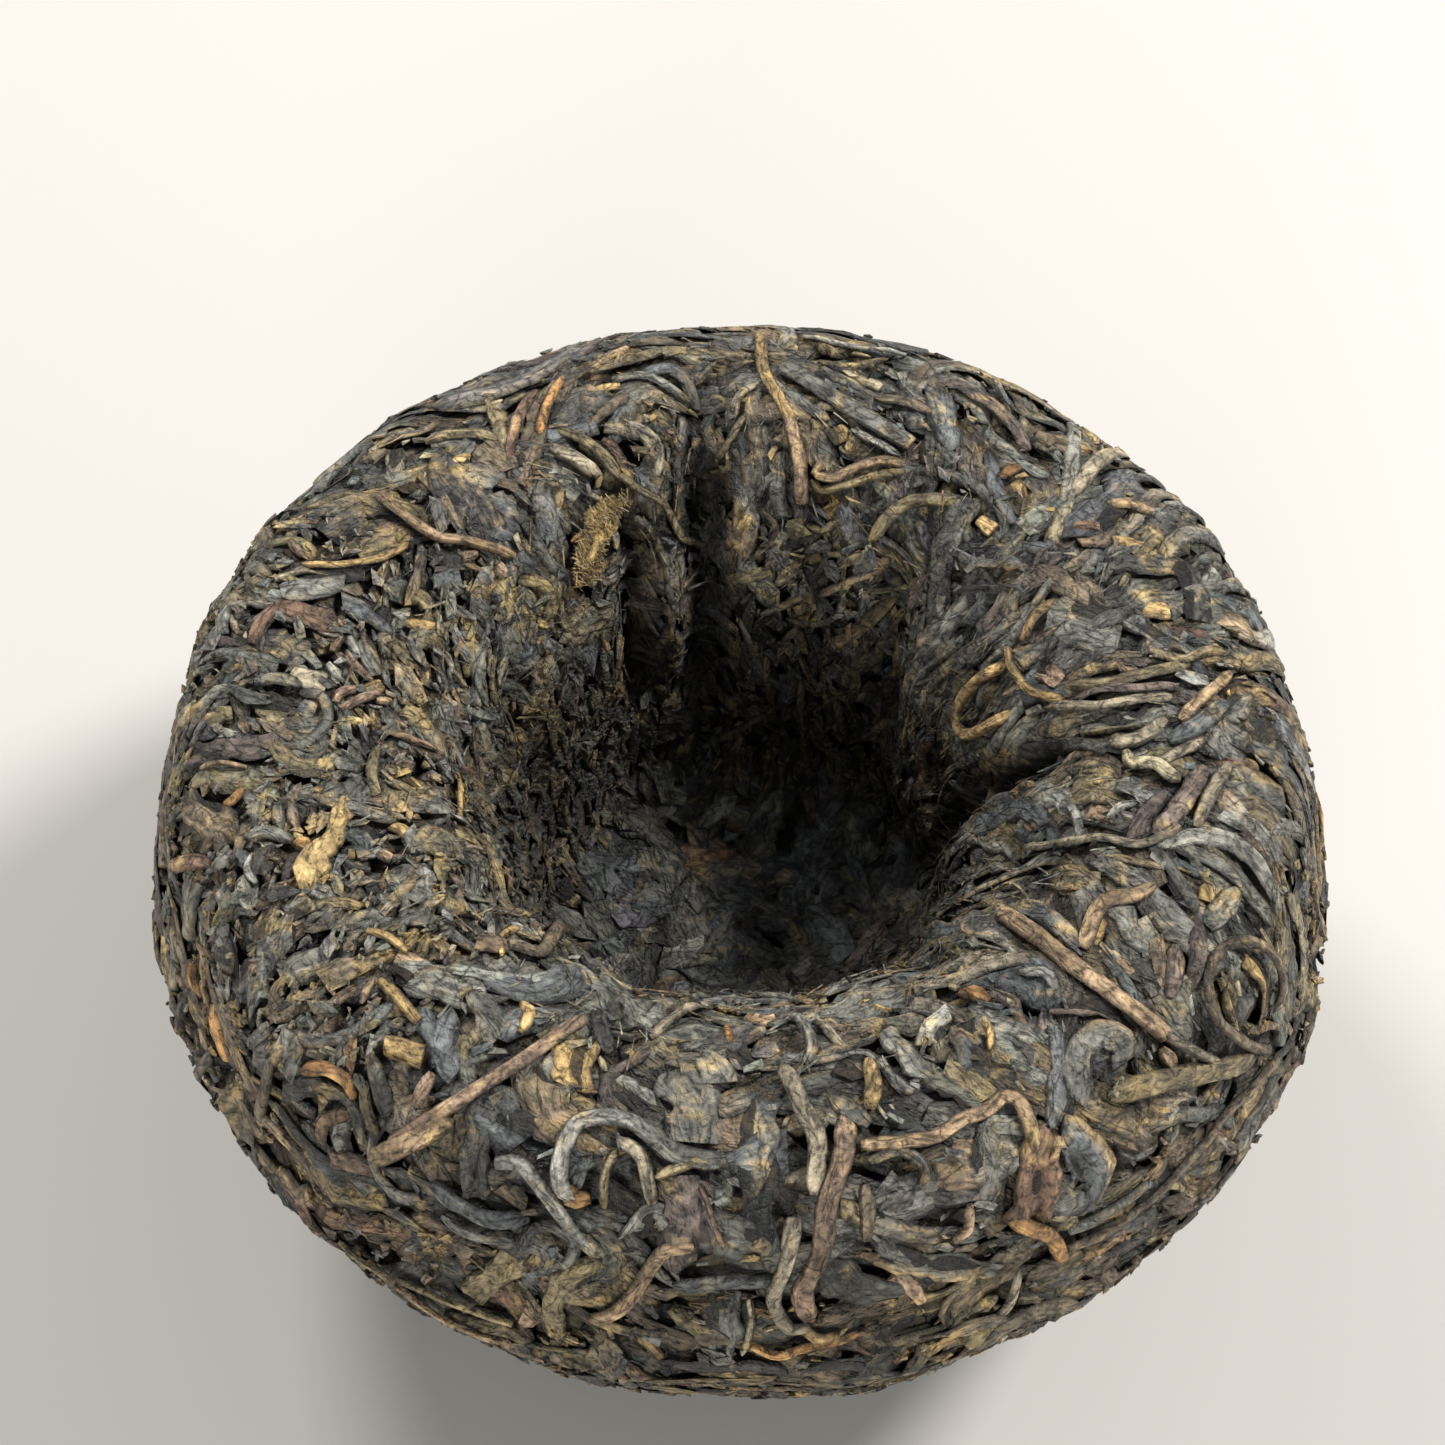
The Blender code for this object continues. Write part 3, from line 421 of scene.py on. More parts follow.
    ("brown_tube_east", "strand", "brown", 0.9, ((1182, 748), (1194, 744), (1207, 734))),
    ("slate_tongue_east", "leaf", "slate", 1.5, ((1250, 680), (1242, 698), (1234, 714))),
    ("slate_plate_east", "leaf", "slate", 2.3, ((1212, 722), (1222, 736), (1230, 750))),
    ("blue_fan_east", "leaf", "blue_slate", 2.5, ((1286, 735), (1284, 760), (1290, 780))),
    ("slate_bridge_east", "leaf", "slate", 2.0, ((1252, 748), (1262, 730), (1282, 722))),
    ("orange_band_east", "strand", "orange", 0.9, ((1320, 792), (1323, 820), (1321, 848))),
    ("blue_bit_east", "leaf", "blue_slate", 1.3, ((1094, 798), (1098, 818))),
    ("grey_bit_east", "strand", "light_slate", 0.7, ((1106, 816), (1120, 806), (1136, 800))),
    ("grey_tan_west_top", "leaf", "grey_tan", 1.5, ((276, 572), (300, 566), (330, 566))),
    ("blue_leaf_west_top", "leaf", "slate", 1.7, ((280, 588), (306, 584), (344, 578))),
    ("grey_upright_west", "strand", "light_slate", 1.1, ((226, 604), (221, 620), (217, 634))),
    ("dark_striped_leaf", "leaf", "charcoal", 2.0, ((256, 634), (280, 640), (306, 652))),
    ("slate_square_west", "leaf", "slate", 1.8, ((358, 640), (370, 656), (380, 672))),
    ("pale_strip_west", "strand", "light_slate", 0.7, ((350, 634), (354, 646), (360, 656))),
    ("slate_strip_west", "strand", "slate", 1.0, ((254, 680), (276, 676), (302, 682))),
    ("olive_round_west", "leaf", "olive", 2.4, ((252, 700), (270, 702), (290, 708))),
    ("blue_round_west", "leaf", "blue_slate", 1.5, ((300, 700), (316, 706))),
    ("grey_leaf_west", "leaf", "slate", 1.3, ((278, 720), (300, 722), (320, 718))),
    ("tan_nub_west", "strand", "tan", 0.9, ((238, 718), (246, 730))),
    ("gold_dot_west", "leaf", "gold", 0.9, ((229, 668), (238, 663))),
    ("brown_band_west", "leaf", "plum", 1.8, ((180, 756), (214, 750), (250, 746), (278, 738))),
    ("olive_leaf_west", "leaf", "olive", 1.4, ((404, 708), (418, 716), (432, 722))),
    ("mossy_leaf_west", "leaf", "brown", 3.2, ((174, 806), (198, 824), (222, 846))),
    ("rust_strip_west", "strand", "red_brown", 1.1, ((172, 868), (192, 862), (208, 862))),
    ("grey_dome_leaf_west", "leaf", "slate", 2.4, ((192, 878), (184, 904), (182, 930))),
    ("dark_dome_leaf_west", "leaf", "charcoal", 1.9, ((216, 938), (224, 956), (222, 972))),
    ("blue_by_yellow_leaf", "leaf", "blue_slate", 2.0, ((350, 826), (366, 836), (374, 850))),
    ("tan_bit_west", "leaf", "tan", 1.1, ((378, 850), (392, 856))),
    ("slate_upright_west", "strand", "slate", 0.9, ((276, 800), (278, 828))),
    ("mauve_upright_west", "strand", "mauve", 0.9, ((290, 802), (296, 826))),
    ("slate_run_west", "strand", "slate", 1.1, ((244, 836), (268, 832), (292, 838))),
    ("pale_run_west", "strand", "light_slate", 0.7, ((250, 852), (246, 868), (254, 882))),
    ("red_nub_west", "strand", "red_brown", 0.8, ((254, 906), (270, 901))),
    ("brown_bean_west", "leaf", "red_brown", 0.9, ((292, 920), (288, 934), (286, 950))),
    ("orange_streak_dome", "strand", "orange", 0.9, ((188, 960), (192, 980), (198, 998))),
    ("long_slate_west", "leaf", "slate", 2.0, ((280, 978), (304, 966), (328, 956))),
    ("pale_fibre_east", "hair", "cream", 0.22, ((1000, 886), (1017, 888), (1032, 904))),
    ("tan_fibre_east", "hair", "tan", 0.2, ((955, 772), (945, 794), (945, 819), (953, 834))),
)

# Where golden dust and bits of tips gather, read off: places in pixels, radius in mm
DUSTED = {
    "lip_north_west": ((536, 646), (546, 660), 1.2),
    "lip_west": ((500, 702), (512, 714), 1.5),
    "lip_south_west": ((466, 778), (460, 812), 1.0),
    "ring_west_upper": ((404, 776), (424, 786), 1.1),
    "ring_west_middle": ((396, 826), (440, 832), 1.2),
    "ring_west_lower": ((372, 852), (390, 866), 1.1),
    "yellow_leaf_west": ((340, 802), (306, 880), 1.6),
    "ring_olive": ((366, 904), (392, 916), 2.2),
    "lip_south": ((478, 938), (500, 946), 1.6),
    "ring_north_west": ((412, 598), (428, 628), 1.0),
    "edge_west_upper": ((230, 664), (240, 676), 0.8),
    "edge_west": ((178, 790), (196, 830), 2.4),
    "edge_west_lower": ((200, 850), (220, 880), 1.6),
    "edge_south_west": ((196, 960), (214, 1040), 1.8),
    "back_bud": ((606, 512), (586, 580), 1.8),
    "back_west_patch": ((452, 468), (470, 476), 1.4),
    "back_top_gold": ((600, 360), (640, 372), 1.3),
    "back_cleft_west": ((664, 416), (676, 440), 1.2),
    "back_cleft": ((706, 430), (724, 470), 1.5),
    "back_cleft_east": ((766, 436), (774, 462), 1.3),
    "back_east_gold": ((836, 426), (844, 446), 1.2),
    "back_spot": ((728, 512), (742, 522), 1.0),
    "back_roll": ((656, 548), (676, 566), 1.6),
    "wall_west_upper": ((528, 620), (540, 634), 1.4),
    "wall_west_middle": ((520, 740), (530, 800), 1.4),
    "north_east_ochre": ((956, 404), (972, 424), 1.5),
    "north_east_leaf": ((1018, 464), (1024, 508), 1.3),
    "east_gold_high": ((1118, 532), (1142, 542), 1.3),
    "east_gold_leaf_spot": ((1146, 604), (1160, 616), 1.3),
    "east_ochre_leaf": ((1066, 616), (1080, 640), 1.5),
    "east_edge_gold": ((1214, 552), (1222, 562), 1.0),
    "east_edge_yellow": ((1236, 600), (1242, 630), 1.3),
    "east_yellow_leaf": ((1192, 712), (1216, 690), 1.3),
    "east_gold_bits": ((1206, 880), (1212, 900), 1.2),
    "east_edge_lower": ((1298, 856), (1310, 866), 1.4),
    "east_fan_gold": ((1234, 1000), (1266, 1020), 1.6),
    "south_east_ochre": ((966, 990), (986, 1000), 1.3),
    "south_east_gold": ((974, 1030), (984, 1054), 1.3),
    "south_east_low": ((1136, 1096), (1164, 1104), 1.8),
    "south_gold_patch": ((582, 1040), (588, 1090), 1.2),
    "south_west_gold": ((396, 1040), (420, 1050), 1.6),
    "south_strip_edge": ((748, 1110), (756, 1150), 0.9),
    "south_low_gold": ((556, 1334), (566, 1346), 1.3),
    "south_fan": ((682, 1078), (700, 1100), 1.3),
}


def curve_points(p0, p1, p2, p3, steps=60):
    t = np.linspace(0.0, 1.0, steps + 1)[1:, None]
    p0, p1, p2, p3 = (np.array(p, float) for p in (p0, p1, p2, p3))
    return (1 - t) ** 3 * p0 + 3 * (1 - t) ** 2 * t * p1 + 3 * (1 - t) * t * t * p2 + t ** 3 * p3


def make_profile():
    """The profile's points (radius, height), the distance along it and the way out at each."""
    rise = HEIGHT - NECK_HEIGHT
    ring = OUTER_RADIUS - RIM_RADIUS
    handle = 0.211 * OUTER_RADIUS
    slope = math.radians(CREASE_TURN)
    dome = math.radians(DOME_TURN)
    dip = FLOOR_HEIGHT - FLOOR_DIP
    reach = 0.5 * CREASE_HEIGHT
    centre = (0.0, dip)
    floor_edge = (FLOOR_RADIUS, FLOOR_HEIGHT)
    neck = (NECK_RADIUS, NECK_HEIGHT)
    rim = (RIM_RADIUS, HEIGHT)
    crease = (OUTER_RADIUS, CREASE_HEIGHT)
    base = (BASE_RADIUS, 0.0)
    points = np.concatenate([
        [centre],
        curve_points(centre, (0.4 * FLOOR_RADIUS, dip), (0.7 * FLOOR_RADIUS, dip + 0.5), floor_edge),
        curve_points(floor_edge, (FLOOR_RADIUS + 2.4, FLOOR_HEIGHT + 0.6),
                     (NECK_RADIUS - 0.2, NECK_HEIGHT - 5.0), neck),
        curve_points(neck, (NECK_RADIUS, NECK_HEIGHT + 0.5 * rise),
                     (RIM_RADIUS - 0.6 * (RIM_RADIUS - NECK_RADIUS), HEIGHT), rim),
        curve_points(rim, (RIM_RADIUS + 0.903 * ring, HEIGHT),
                     (OUTER_RADIUS - handle * math.cos(slope), CREASE_HEIGHT + handle * math.sin(slope)),
                     crease),
        curve_points(crease,
                     (OUTER_RADIUS - reach * math.cos(dome), CREASE_HEIGHT - reach * math.sin(dome)),
                     (BASE_RADIUS + 0.55 * (OUTER_RADIUS - BASE_RADIUS), 0.0), base),
    ])
    steps = np.hypot(*np.diff(points, axis=0).T)
    lengths = np.concatenate([[0.0], np.cumsum(steps)])
    slopes = np.stack([np.gradient(points[:, 0], lengths), np.gradient(points[:, 1], lengths)], 1)
    slopes /= np.linalg.norm(slopes, axis=1)[:, None]
    return points, lengths, np.stack([-slopes[:, 1], slopes[:, 0]], 1)


PROFILE, LENGTHS, WAYS_OUT = make_profile()
BASE_EDGE = LENGTHS[-1]


def radius_at(along):
    return np.interp(along, LENGTHS, PROFILE[:, 0])


def height_at(along):
    return np.interp(along, LENGTHS, PROFILE[:, 1])


def roundness(around):
    turn = np.radians(around)
    return 1.0 + sum(c * np.cos(n * turn) + s * np.sin(n * turn) for n, c, s in UNEVEN_ROUND)


def form(around, along, lift=0.0):
    """Points in mm at places on the form, moved outward by lift."""
    r = radius_at(along) * roundness(around) + lift * np.interp(along, LENGTHS, WAYS_OUT[:, 0])
    z = height_at(along) + lift * np.interp(along, LENGTHS, WAYS_OUT[:, 1])
    turn = np.radians(around)
    return np.stack([r * np.cos(turn), r * np.sin(turn), z], -1)


def lattice(ix, iy, iz, seed):
    """A number from -1 to 1 for each whole-number place."""
    h = (ix * 374761393 + iy * 668265263 + iz * 1274126177 + seed * 97531) & 0xFFFFFFFF
    h = ((h ^ (h >> 13)) * 1103515245) & 0xFFFFFFFF
    h = ((h ^ (h >> 15)) * 374761393) & 0xFFFFFFFF
    return ((h ^ (h >> 16)) & 0xFFFF) / 32767.5 - 1.0


def noise(points, seed=0):
    """Smooth noise from about -1 to 1 at points of any array shape, one wave a unit."""
    base = np.floor(points).astype(np.int64)
    f = points - base
    f = f * f * (3 - 2 * f)
    total = 0.0
    for dx in (0, 1):
        for dy in (0, 1):
            for dz in (0, 1):
                weight = (np.abs(1 - dx - f[..., 0]) * np.abs(1 - dy - f[..., 1])
                          * np.abs(1 - dz - f[..., 2]))
                total = total + weight * lattice(
                    base[..., 0] + dx, base[..., 1] + dy, base[..., 2] + dz, seed
                )
    return total


def fold_depth(around, along):
    """How deep the cloth's folds press the surface in at places."""
    depth = np.zeros(np.broadcast(around, along).shape)
    radius = radius_at(along)
    for (a0, s0), (a1, s1), half_width, full_depth in FOLDS:
        a1 = a0 + (a1 - a0 + 180) % 360 - 180
        middle = (a0 + a1) / 2
        offset = (around - middle + 180) % 360 - 180
        run_a = np.radians(a1 - a0) * radius
        run_s = s1 - s0
        from_a = np.radians(offset - (a0 - middle)) * radius
        from_s = along - s0
        share = np.clip((from_a * run_a + from_s * run_s) / (run_a ** 2 + run_s ** 2), 0, 1)
        away = np.hypot(from_a - share * run_a, from_s - share * run_s)
        ends = np.minimum(1.0, 4.0 * np.minimum(share, 1 - share) + 0.35)
        depth = depth + full_depth * ends * np.exp(-((away / half_width) ** 2))
    return depth


# The ground that all layers follow, kept on a grid over the form: lumps (height, size and seed), less
# high on the dome, and level at the edge of the flat spot
GROUND_A = 900
GROUND_S = 320
LUMPS = ((0.42, 8.0, 3), (0.3, 3.6, 4))
LUMPS_SINK = 0.1
CALM_FROM = 69
CALM = 0.55
LEVEL_RUN = 8.0


def make_ground():
    around = np.arange(GROUND_A) * 360.0 / GROUND_A
    along = np.linspace(0.0, BASE_EDGE, GROUND_S)
    grid_a, grid_s = np.meshgrid(around, along, indexing="ij")
    points = form(grid_a, grid_s)
    lumps = sum(height * noise(points / size, seed) for height, size, seed in LUMPS) - LUMPS_SINK
    calm = np.where(grid_s > CALM_FROM, CALM, 1.0)
    edge = np.clip((BASE_EDGE - grid_s) / LEVEL_RUN, 0, 1)
    return lumps * calm * edge - fold_depth(grid_a, grid_s)


GROUND = make_ground()


def ground(around, along):
    """Lift of the ground at places, read from the grid."""
    a = (np.asarray(around) % 360.0) * GROUND_A / 360.0
    s = np.clip(np.asarray(along) / BASE_EDGE, 0, 1) * (GROUND_S - 1)
    ia = np.floor(a).astype(int)
    i_s = np.minimum(np.floor(s).astype(int), GROUND_S - 2)
    fa = a - ia
    fs = s - i_s
    ia %= GROUND_A
    ib = (ia + 1) % GROUND_A
    low = GROUND[ia, i_s] * (1 - fa) + GROUND[ib, i_s] * fa
    high = GROUND[ia, i_s + 1] * (1 - fa) + GROUND[ib, i_s + 1] * fa
    return low * (1 - fs) + high * fs


def grid_cells(around, along, columns, step):
    """The cells that places lie in, of a coarse grid over the form."""
    column = np.floor(np.asarray(around) % 360.0 * columns / 360.0).astype(int) % columns
    return column, np.clip(np.asarray(along) / step, 0, int(BASE_EDGE / step)).astype(int)


# How the leaves' headings swirl from place to place, in radians, and how much dust lies where
FLOW_A = 240
FLOW_STEP = 1.0
FLOW_POINTS = form(*np.meshgrid(
    (np.arange(FLOW_A) + 0.5) * 360.0 / FLOW_A, np.arange(int(BASE_EDGE / FLOW_STEP) + 1) * FLOW_STEP,
    indexing="ij",
))
FLOW = noise(FLOW_POINTS / 11.0, 31) + 0.55 * noise(FLOW_POINTS / 4.5, 32)
DUST = np.zeros(FLOW.shape)


def flow(around, along):
    return FLOW[grid_cells(around, along, FLOW_A, FLOW_STEP)]


def dust_at(around, along):
    return DUST[grid_cells(around, along, FLOW_A, FLOW_STEP)]


def spread_dust(place):
    """Fill the dust grid round the spots read off the photograph."""
    for *pixels, radius in DUSTED.values():
        start, end = (form(*np.array(place(pixel))) for pixel in pixels)
        line = end - start
        share = np.clip((FLOW_POINTS - start) @ line / (line @ line), 0, 1)[..., None]
        away = np.linalg.norm(FLOW_POINTS - start - share * line, axis=-1)
        DUST[:] += 0.5 * np.exp(-((away / (0.7 * radius)) ** 2))


class Side:
    """The chart of the ring, the wall and the dome: u is around, v is along."""

    low, high = 12.0, 110.0
    ground = staticmethod(ground)
    dust = staticmethod(dust_at)
    place = staticmethod(form)

    @staticmethod
    def scale(u, v):
        return np.radians(1.0) * np.maximum(radius_at(v), 4.0)

    @staticmethod
    def along(u, v):
        return v


class Flat:
    """What the two level charts share: u and v are in mm, and no dust lies there."""

    @staticmethod
    def scale(u, v):
        return np.ones(np.shape(u))

    @staticmethod
    def dust(u, v):
        return 0.0 * u


class Floor(Flat):
    """The chart of the hollow's floor: u and v are X and Y."""

    points = 105  # of the profile, up to where the wall grows steep

    @staticmethod
    def ground(u, v):
        return 0.25 * noise(np.stack([u, v, 0 * u], -1) / 3.0, 8)

    @staticmethod
    def along(u, v):
        return np.hypot(u, v)

    @classmethod
    def place(cls, u, v, lift):
        along = np.interp(np.hypot(u, v), PROFILE[:cls.points, 0], LENGTHS[:cls.points])
        return np.stack([u, v, height_at(along) + lift], -1)


class Under(Flat):
    """The chart of the flat spot underneath: u is X and v is -Y."""

    @staticmethod
    def ground(u, v):
        return 0.0 * u

    @staticmethod
    def along(u, v):
        return np.full(np.shape(u), BASE_EDGE)

    @staticmethod
    def place(u, v, lift):
        return np.stack([u, -v, -np.minimum(lift, 0.0)], -1)


class Piece:
    """One kind of thing, collected as arrays and made into one mesh."""

    def __init__(self, name):
        self.name = name
        self.points, self.quads, self.tris = [], [], []
        self.strands, self.tones, self.lights = [], [], []
        self.count = 0

    def add_rings(self, points, strand, tone, light):
        """A closed tube from an array of rings (stations, around the section, 3)."""
        stations, sides = points.shape[:2]
        start = self.count
        index = start + np.arange(stations * sides).reshape(stations, sides)
        after = np.roll(index, -1, axis=1)
        quads = np.stack([index[:-1], after[:-1], after[1:], index[1:]], -1).reshape(-1, 4)
        ends = start + stations * sides
        first = np.stack([after[0], index[0], np.full(sides, ends)], -1)
        last = np.stack([index[-1], after[-1], np.full(sides, ends + 1)], -1)
        for store, rings in ((self.points, points), (self.strands, strand), (self.tones, tone)):
            caps = np.stack([rings[0].mean(0), rings[-1].mean(0)])
            store.append(np.concatenate([rings.reshape(stations * sides, -1), caps]))
        self.lights.append(np.concatenate([light.ravel(), [light[0].mean(), light[-1].mean()]]))
        self.quads.append(quads)
        self.tris += [first, last]
        self.count = ends + 2

    def make(self, material):
        stores = (self.points, self.quads, self.tris, self.strands, self.tones, self.lights)
        make_mesh(self.name, *map(np.concatenate, stores), material)


def make_mesh(name, points, quads, tris, strands, tones, lights, material):
    """An object from arrays, with its attributes, riding on the body in place of the solid."""
    mesh = bpy.data.meshes.new(name)
    points = inside_box(points)
    mesh.vertices.add(len(points))
    mesh.vertices.foreach_set("co", (points * MM).astype(np.float32).ravel())
    corners = np.concatenate([quads.ravel(), tris.ravel()])
    starts = np.concatenate([np.arange(len(quads)) * 4, len(quads) * 4 + np.arange(len(tris)) * 3])
    mesh.loops.add(len(corners))
    mesh.loops.foreach_set("vertex_index", corners.astype(np.int32))
    mesh.polygons.add(len(starts))
    mesh.polygons.foreach_set("loop_start", starts.astype(np.int32))
    mesh.update(calc_edges=True)
    mesh.validate()
    mesh.shade_smooth()
    mesh.set_sharp_from_angle(angle=CREASE_ANGLE)
    for layer, kind, field, values in (
        ("tone", "FLOAT_COLOR", "color", tones),
        ("strand", "FLOAT_VECTOR", "vector", strands),
        ("light", "FLOAT", "value", lights),
    ):
        attribute = mesh.attributes.new(layer, kind, "POINT")
        attribute.data.foreach_set(field, values.astype(np.float32).ravel())
    piece = bpy.data.objects.new(name, mesh)
    bpy.context.scene.collection.objects.link(piece)
    mesh.materials.append(material)
    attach(piece, "root")
    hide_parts(NODE)


def inside_box(points):
    """Points squeezed gently into the box of the solid, as the mould pressed them."""
    low, high = (np.array(corner) / MM for corner in CAD_BOX)
    over = np.maximum(points - (high - BOX_MARGIN), 0)
    points = np.where(over > 0, high - BOX_MARGIN * np.exp(-over / BOX_MARGIN), points)
    under = np.maximum(low[:2] + BOX_MARGIN - points[:, :2], 0)
    points[:, :2] = np.where(under > 0, low[:2] + BOX_MARGIN * np.exp(-under / BOX_MARGIN), points[:, :2])
    points[:, 2] = np.maximum(points[:, 2], 0.0)
    return points


# Shares of light: along the profile through the hollow, by the ground's depth, and by a leaf's level
HOLLOW_LIGHT = ((9.0, 17.0, 26.0, 36.0), (0.7, 0.32, 0.42, 1.0))
FOLD_LIGHT = ((-2.4, -0.7), (0.2, 1.0))
LEVEL_LIGHT = ((-1.4, -0.8, -0.3), (0.14, 0.4, 1.0))


def light_at(along, lift, land=0.0):
    """The share of light that reaches a place: less in the hollow, in folds and under other leaves."""
    return np.interp(along, *HOLLOW_LIGHT) * np.interp(land, *FOLD_LIGHT) * np.interp(lift, *LEVEL_LIGHT)


# Colours, as the share of light that the dry leaf gives back
TONES = {
    "slate": (0.119, 0.117, 0.100),
    "light_slate": (0.240, 0.236, 0.206),
    "blue_slate": (0.083, 0.089, 0.088),
    "charcoal": (0.056, 0.054, 0.047),
    "brown": (0.118, 0.091, 0.060),
    "red_brown": (0.130, 0.079, 0.050),
    "plum": (0.086, 0.067, 0.056),
    "olive": (0.178, 0.142, 0.077),
    "tan": (0.272, 0.188, 0.110),
    "grey_tan": (0.232, 0.197, 0.137),
    "pink_tan": (0.236, 0.161, 0.108),
    "mauve": (0.134, 0.102, 0.082),
    "gold": (0.315, 0.212, 0.090),
    "bud_gold": (0.340, 0.242, 0.082),
    "pale_gold": (0.460, 0.325, 0.140),
    "orange": (0.310, 0.165, 0.060),
    "cream": (0.330, 0.285, 0.180),
}
OCHRE = (0.37, 0.262, 0.098, 1.0)


def press(lift):
    """Pressed flush: heights keep their order and none stands above the cap."""
    return CAP - SOFT * np.logaddexp(0.0, (CAP - lift) / SOFT)


def walk(chart, u0, v0, heading, length, bend, wave, phase, stations, swirl=0.0):
    """A path of that length with its middle at (u0, v0), turning by bend, waving and swirling."""
    run = np.linspace(-0.5, 0.5, stations)
    turned = heading + bend * run + wave * np.sin(2 * math.pi * run * 1.3 + phase)
    if swirl:
        far_u = u0 + run * length * math.cos(heading) / chart.scale(u0, v0)
        turned = turned + swirl * (flow(far_u, v0 + run * length * math.sin(heading)) - flow(u0, v0))
    step = length / (stations - 1)
    half = stations // 2
    dx = np.cos(turned) * step
    dy = np.sin(turned) * step
    v = v0 + np.cumsum(dy) - np.cumsum(dy)[half]
    scale = chart.scale(0.0 * v, v)
    across = np.cumsum(dx / scale)
    return u0 + across - across[half], v


def smooth_path(chart, places, spacing):
    """Stations evenly spaced on a smooth line through places of a chart, and its length."""
    places = np.array(places, float)
    if chart is Side:
        for k in range(1, len(places)):
            places[k, 0] = places[k - 1, 0] + (places[k, 0] - places[k - 1, 0] + 180) % 360 - 180
    knots = np.concatenate([[2 * places[0] - places[1]], places, [2 * places[-1] - places[-2]]])
    t = np.linspace(0, len(places) - 1 - 1e-9, 12 * len(places))
    i = t.astype(int)
    f = (t - i)[:, None]
    a, b, c, d = knots[i], knots[i + 1], knots[i + 2], knots[i + 3]
    line = 0.5 * (2 * b + (c - a) * f + (2 * a - 5 * b + 4 * c - d) * f ** 2
                  + (3 * b - a - 3 * c + d) * f ** 3)
    scale = chart.scale(line[:, 0], line[:, 1])
    steps = np.hypot(np.diff(line[:, 0]) * scale[1:], np.diff(line[:, 1]))
    run = np.concatenate([[0], np.cumsum(steps)])
    at = np.linspace(0, run[-1], max(6, int(run[-1] / spacing)))
    return np.interp(at, run, line[:, 0]), np.interp(at, run, line[:, 1]), run[-1]


def ragged(run, pitch, chance):
    """Values from -1 to 1 joined by straight lines, as a torn edge has."""
    knots = int(run[-1] / pitch) + 3
    return np.interp(run, np.arange(knots) * pitch - chance.uniform(0, pitch),
                     chance.uniform(-1, 1, knots))


def facets(run, across, seed, pitch):
    """Relief of flat facets between straight creases, from -1 to 1, longer along the leaf."""
    x = run / (3.2 * pitch) + 0.35 * across / pitch
    y = across / pitch + 40.0
    ix, iy = np.floor(x).astype(np.int64), np.floor(y).astype(np.int64)
    fx, fy = x - ix, y - iy
    key = int(seed * 1000)
    low = lattice(ix, iy, key, 21) * (1 - fx) + lattice(ix + 1, iy, key, 21) * fx
    high = lattice(ix, iy + 1, key, 21) * (1 - fx) + lattice(ix + 1, iy + 1, key, 21) * fx
    return low * (1 - fy) + high * fy


def crumple(run, across, seed, pitch):
    """Relief of a crumpled leaf, about -1 to 1: creases that mostly run along it."""
    place = np.stack([run / (2.6 * pitch), across / pitch, 0 * run + seed], -1)
    warp = 0.45 * noise(0.8 * place + 31.0, 5)
    place = place + np.stack([warp, warp, 0 * warp], -1)
    coarse = 1 - 2.6 * np.abs(noise(place, 6))
    return 0.5 * coarse + 0.75 * facets(run, across, seed, 0.8 * pitch)


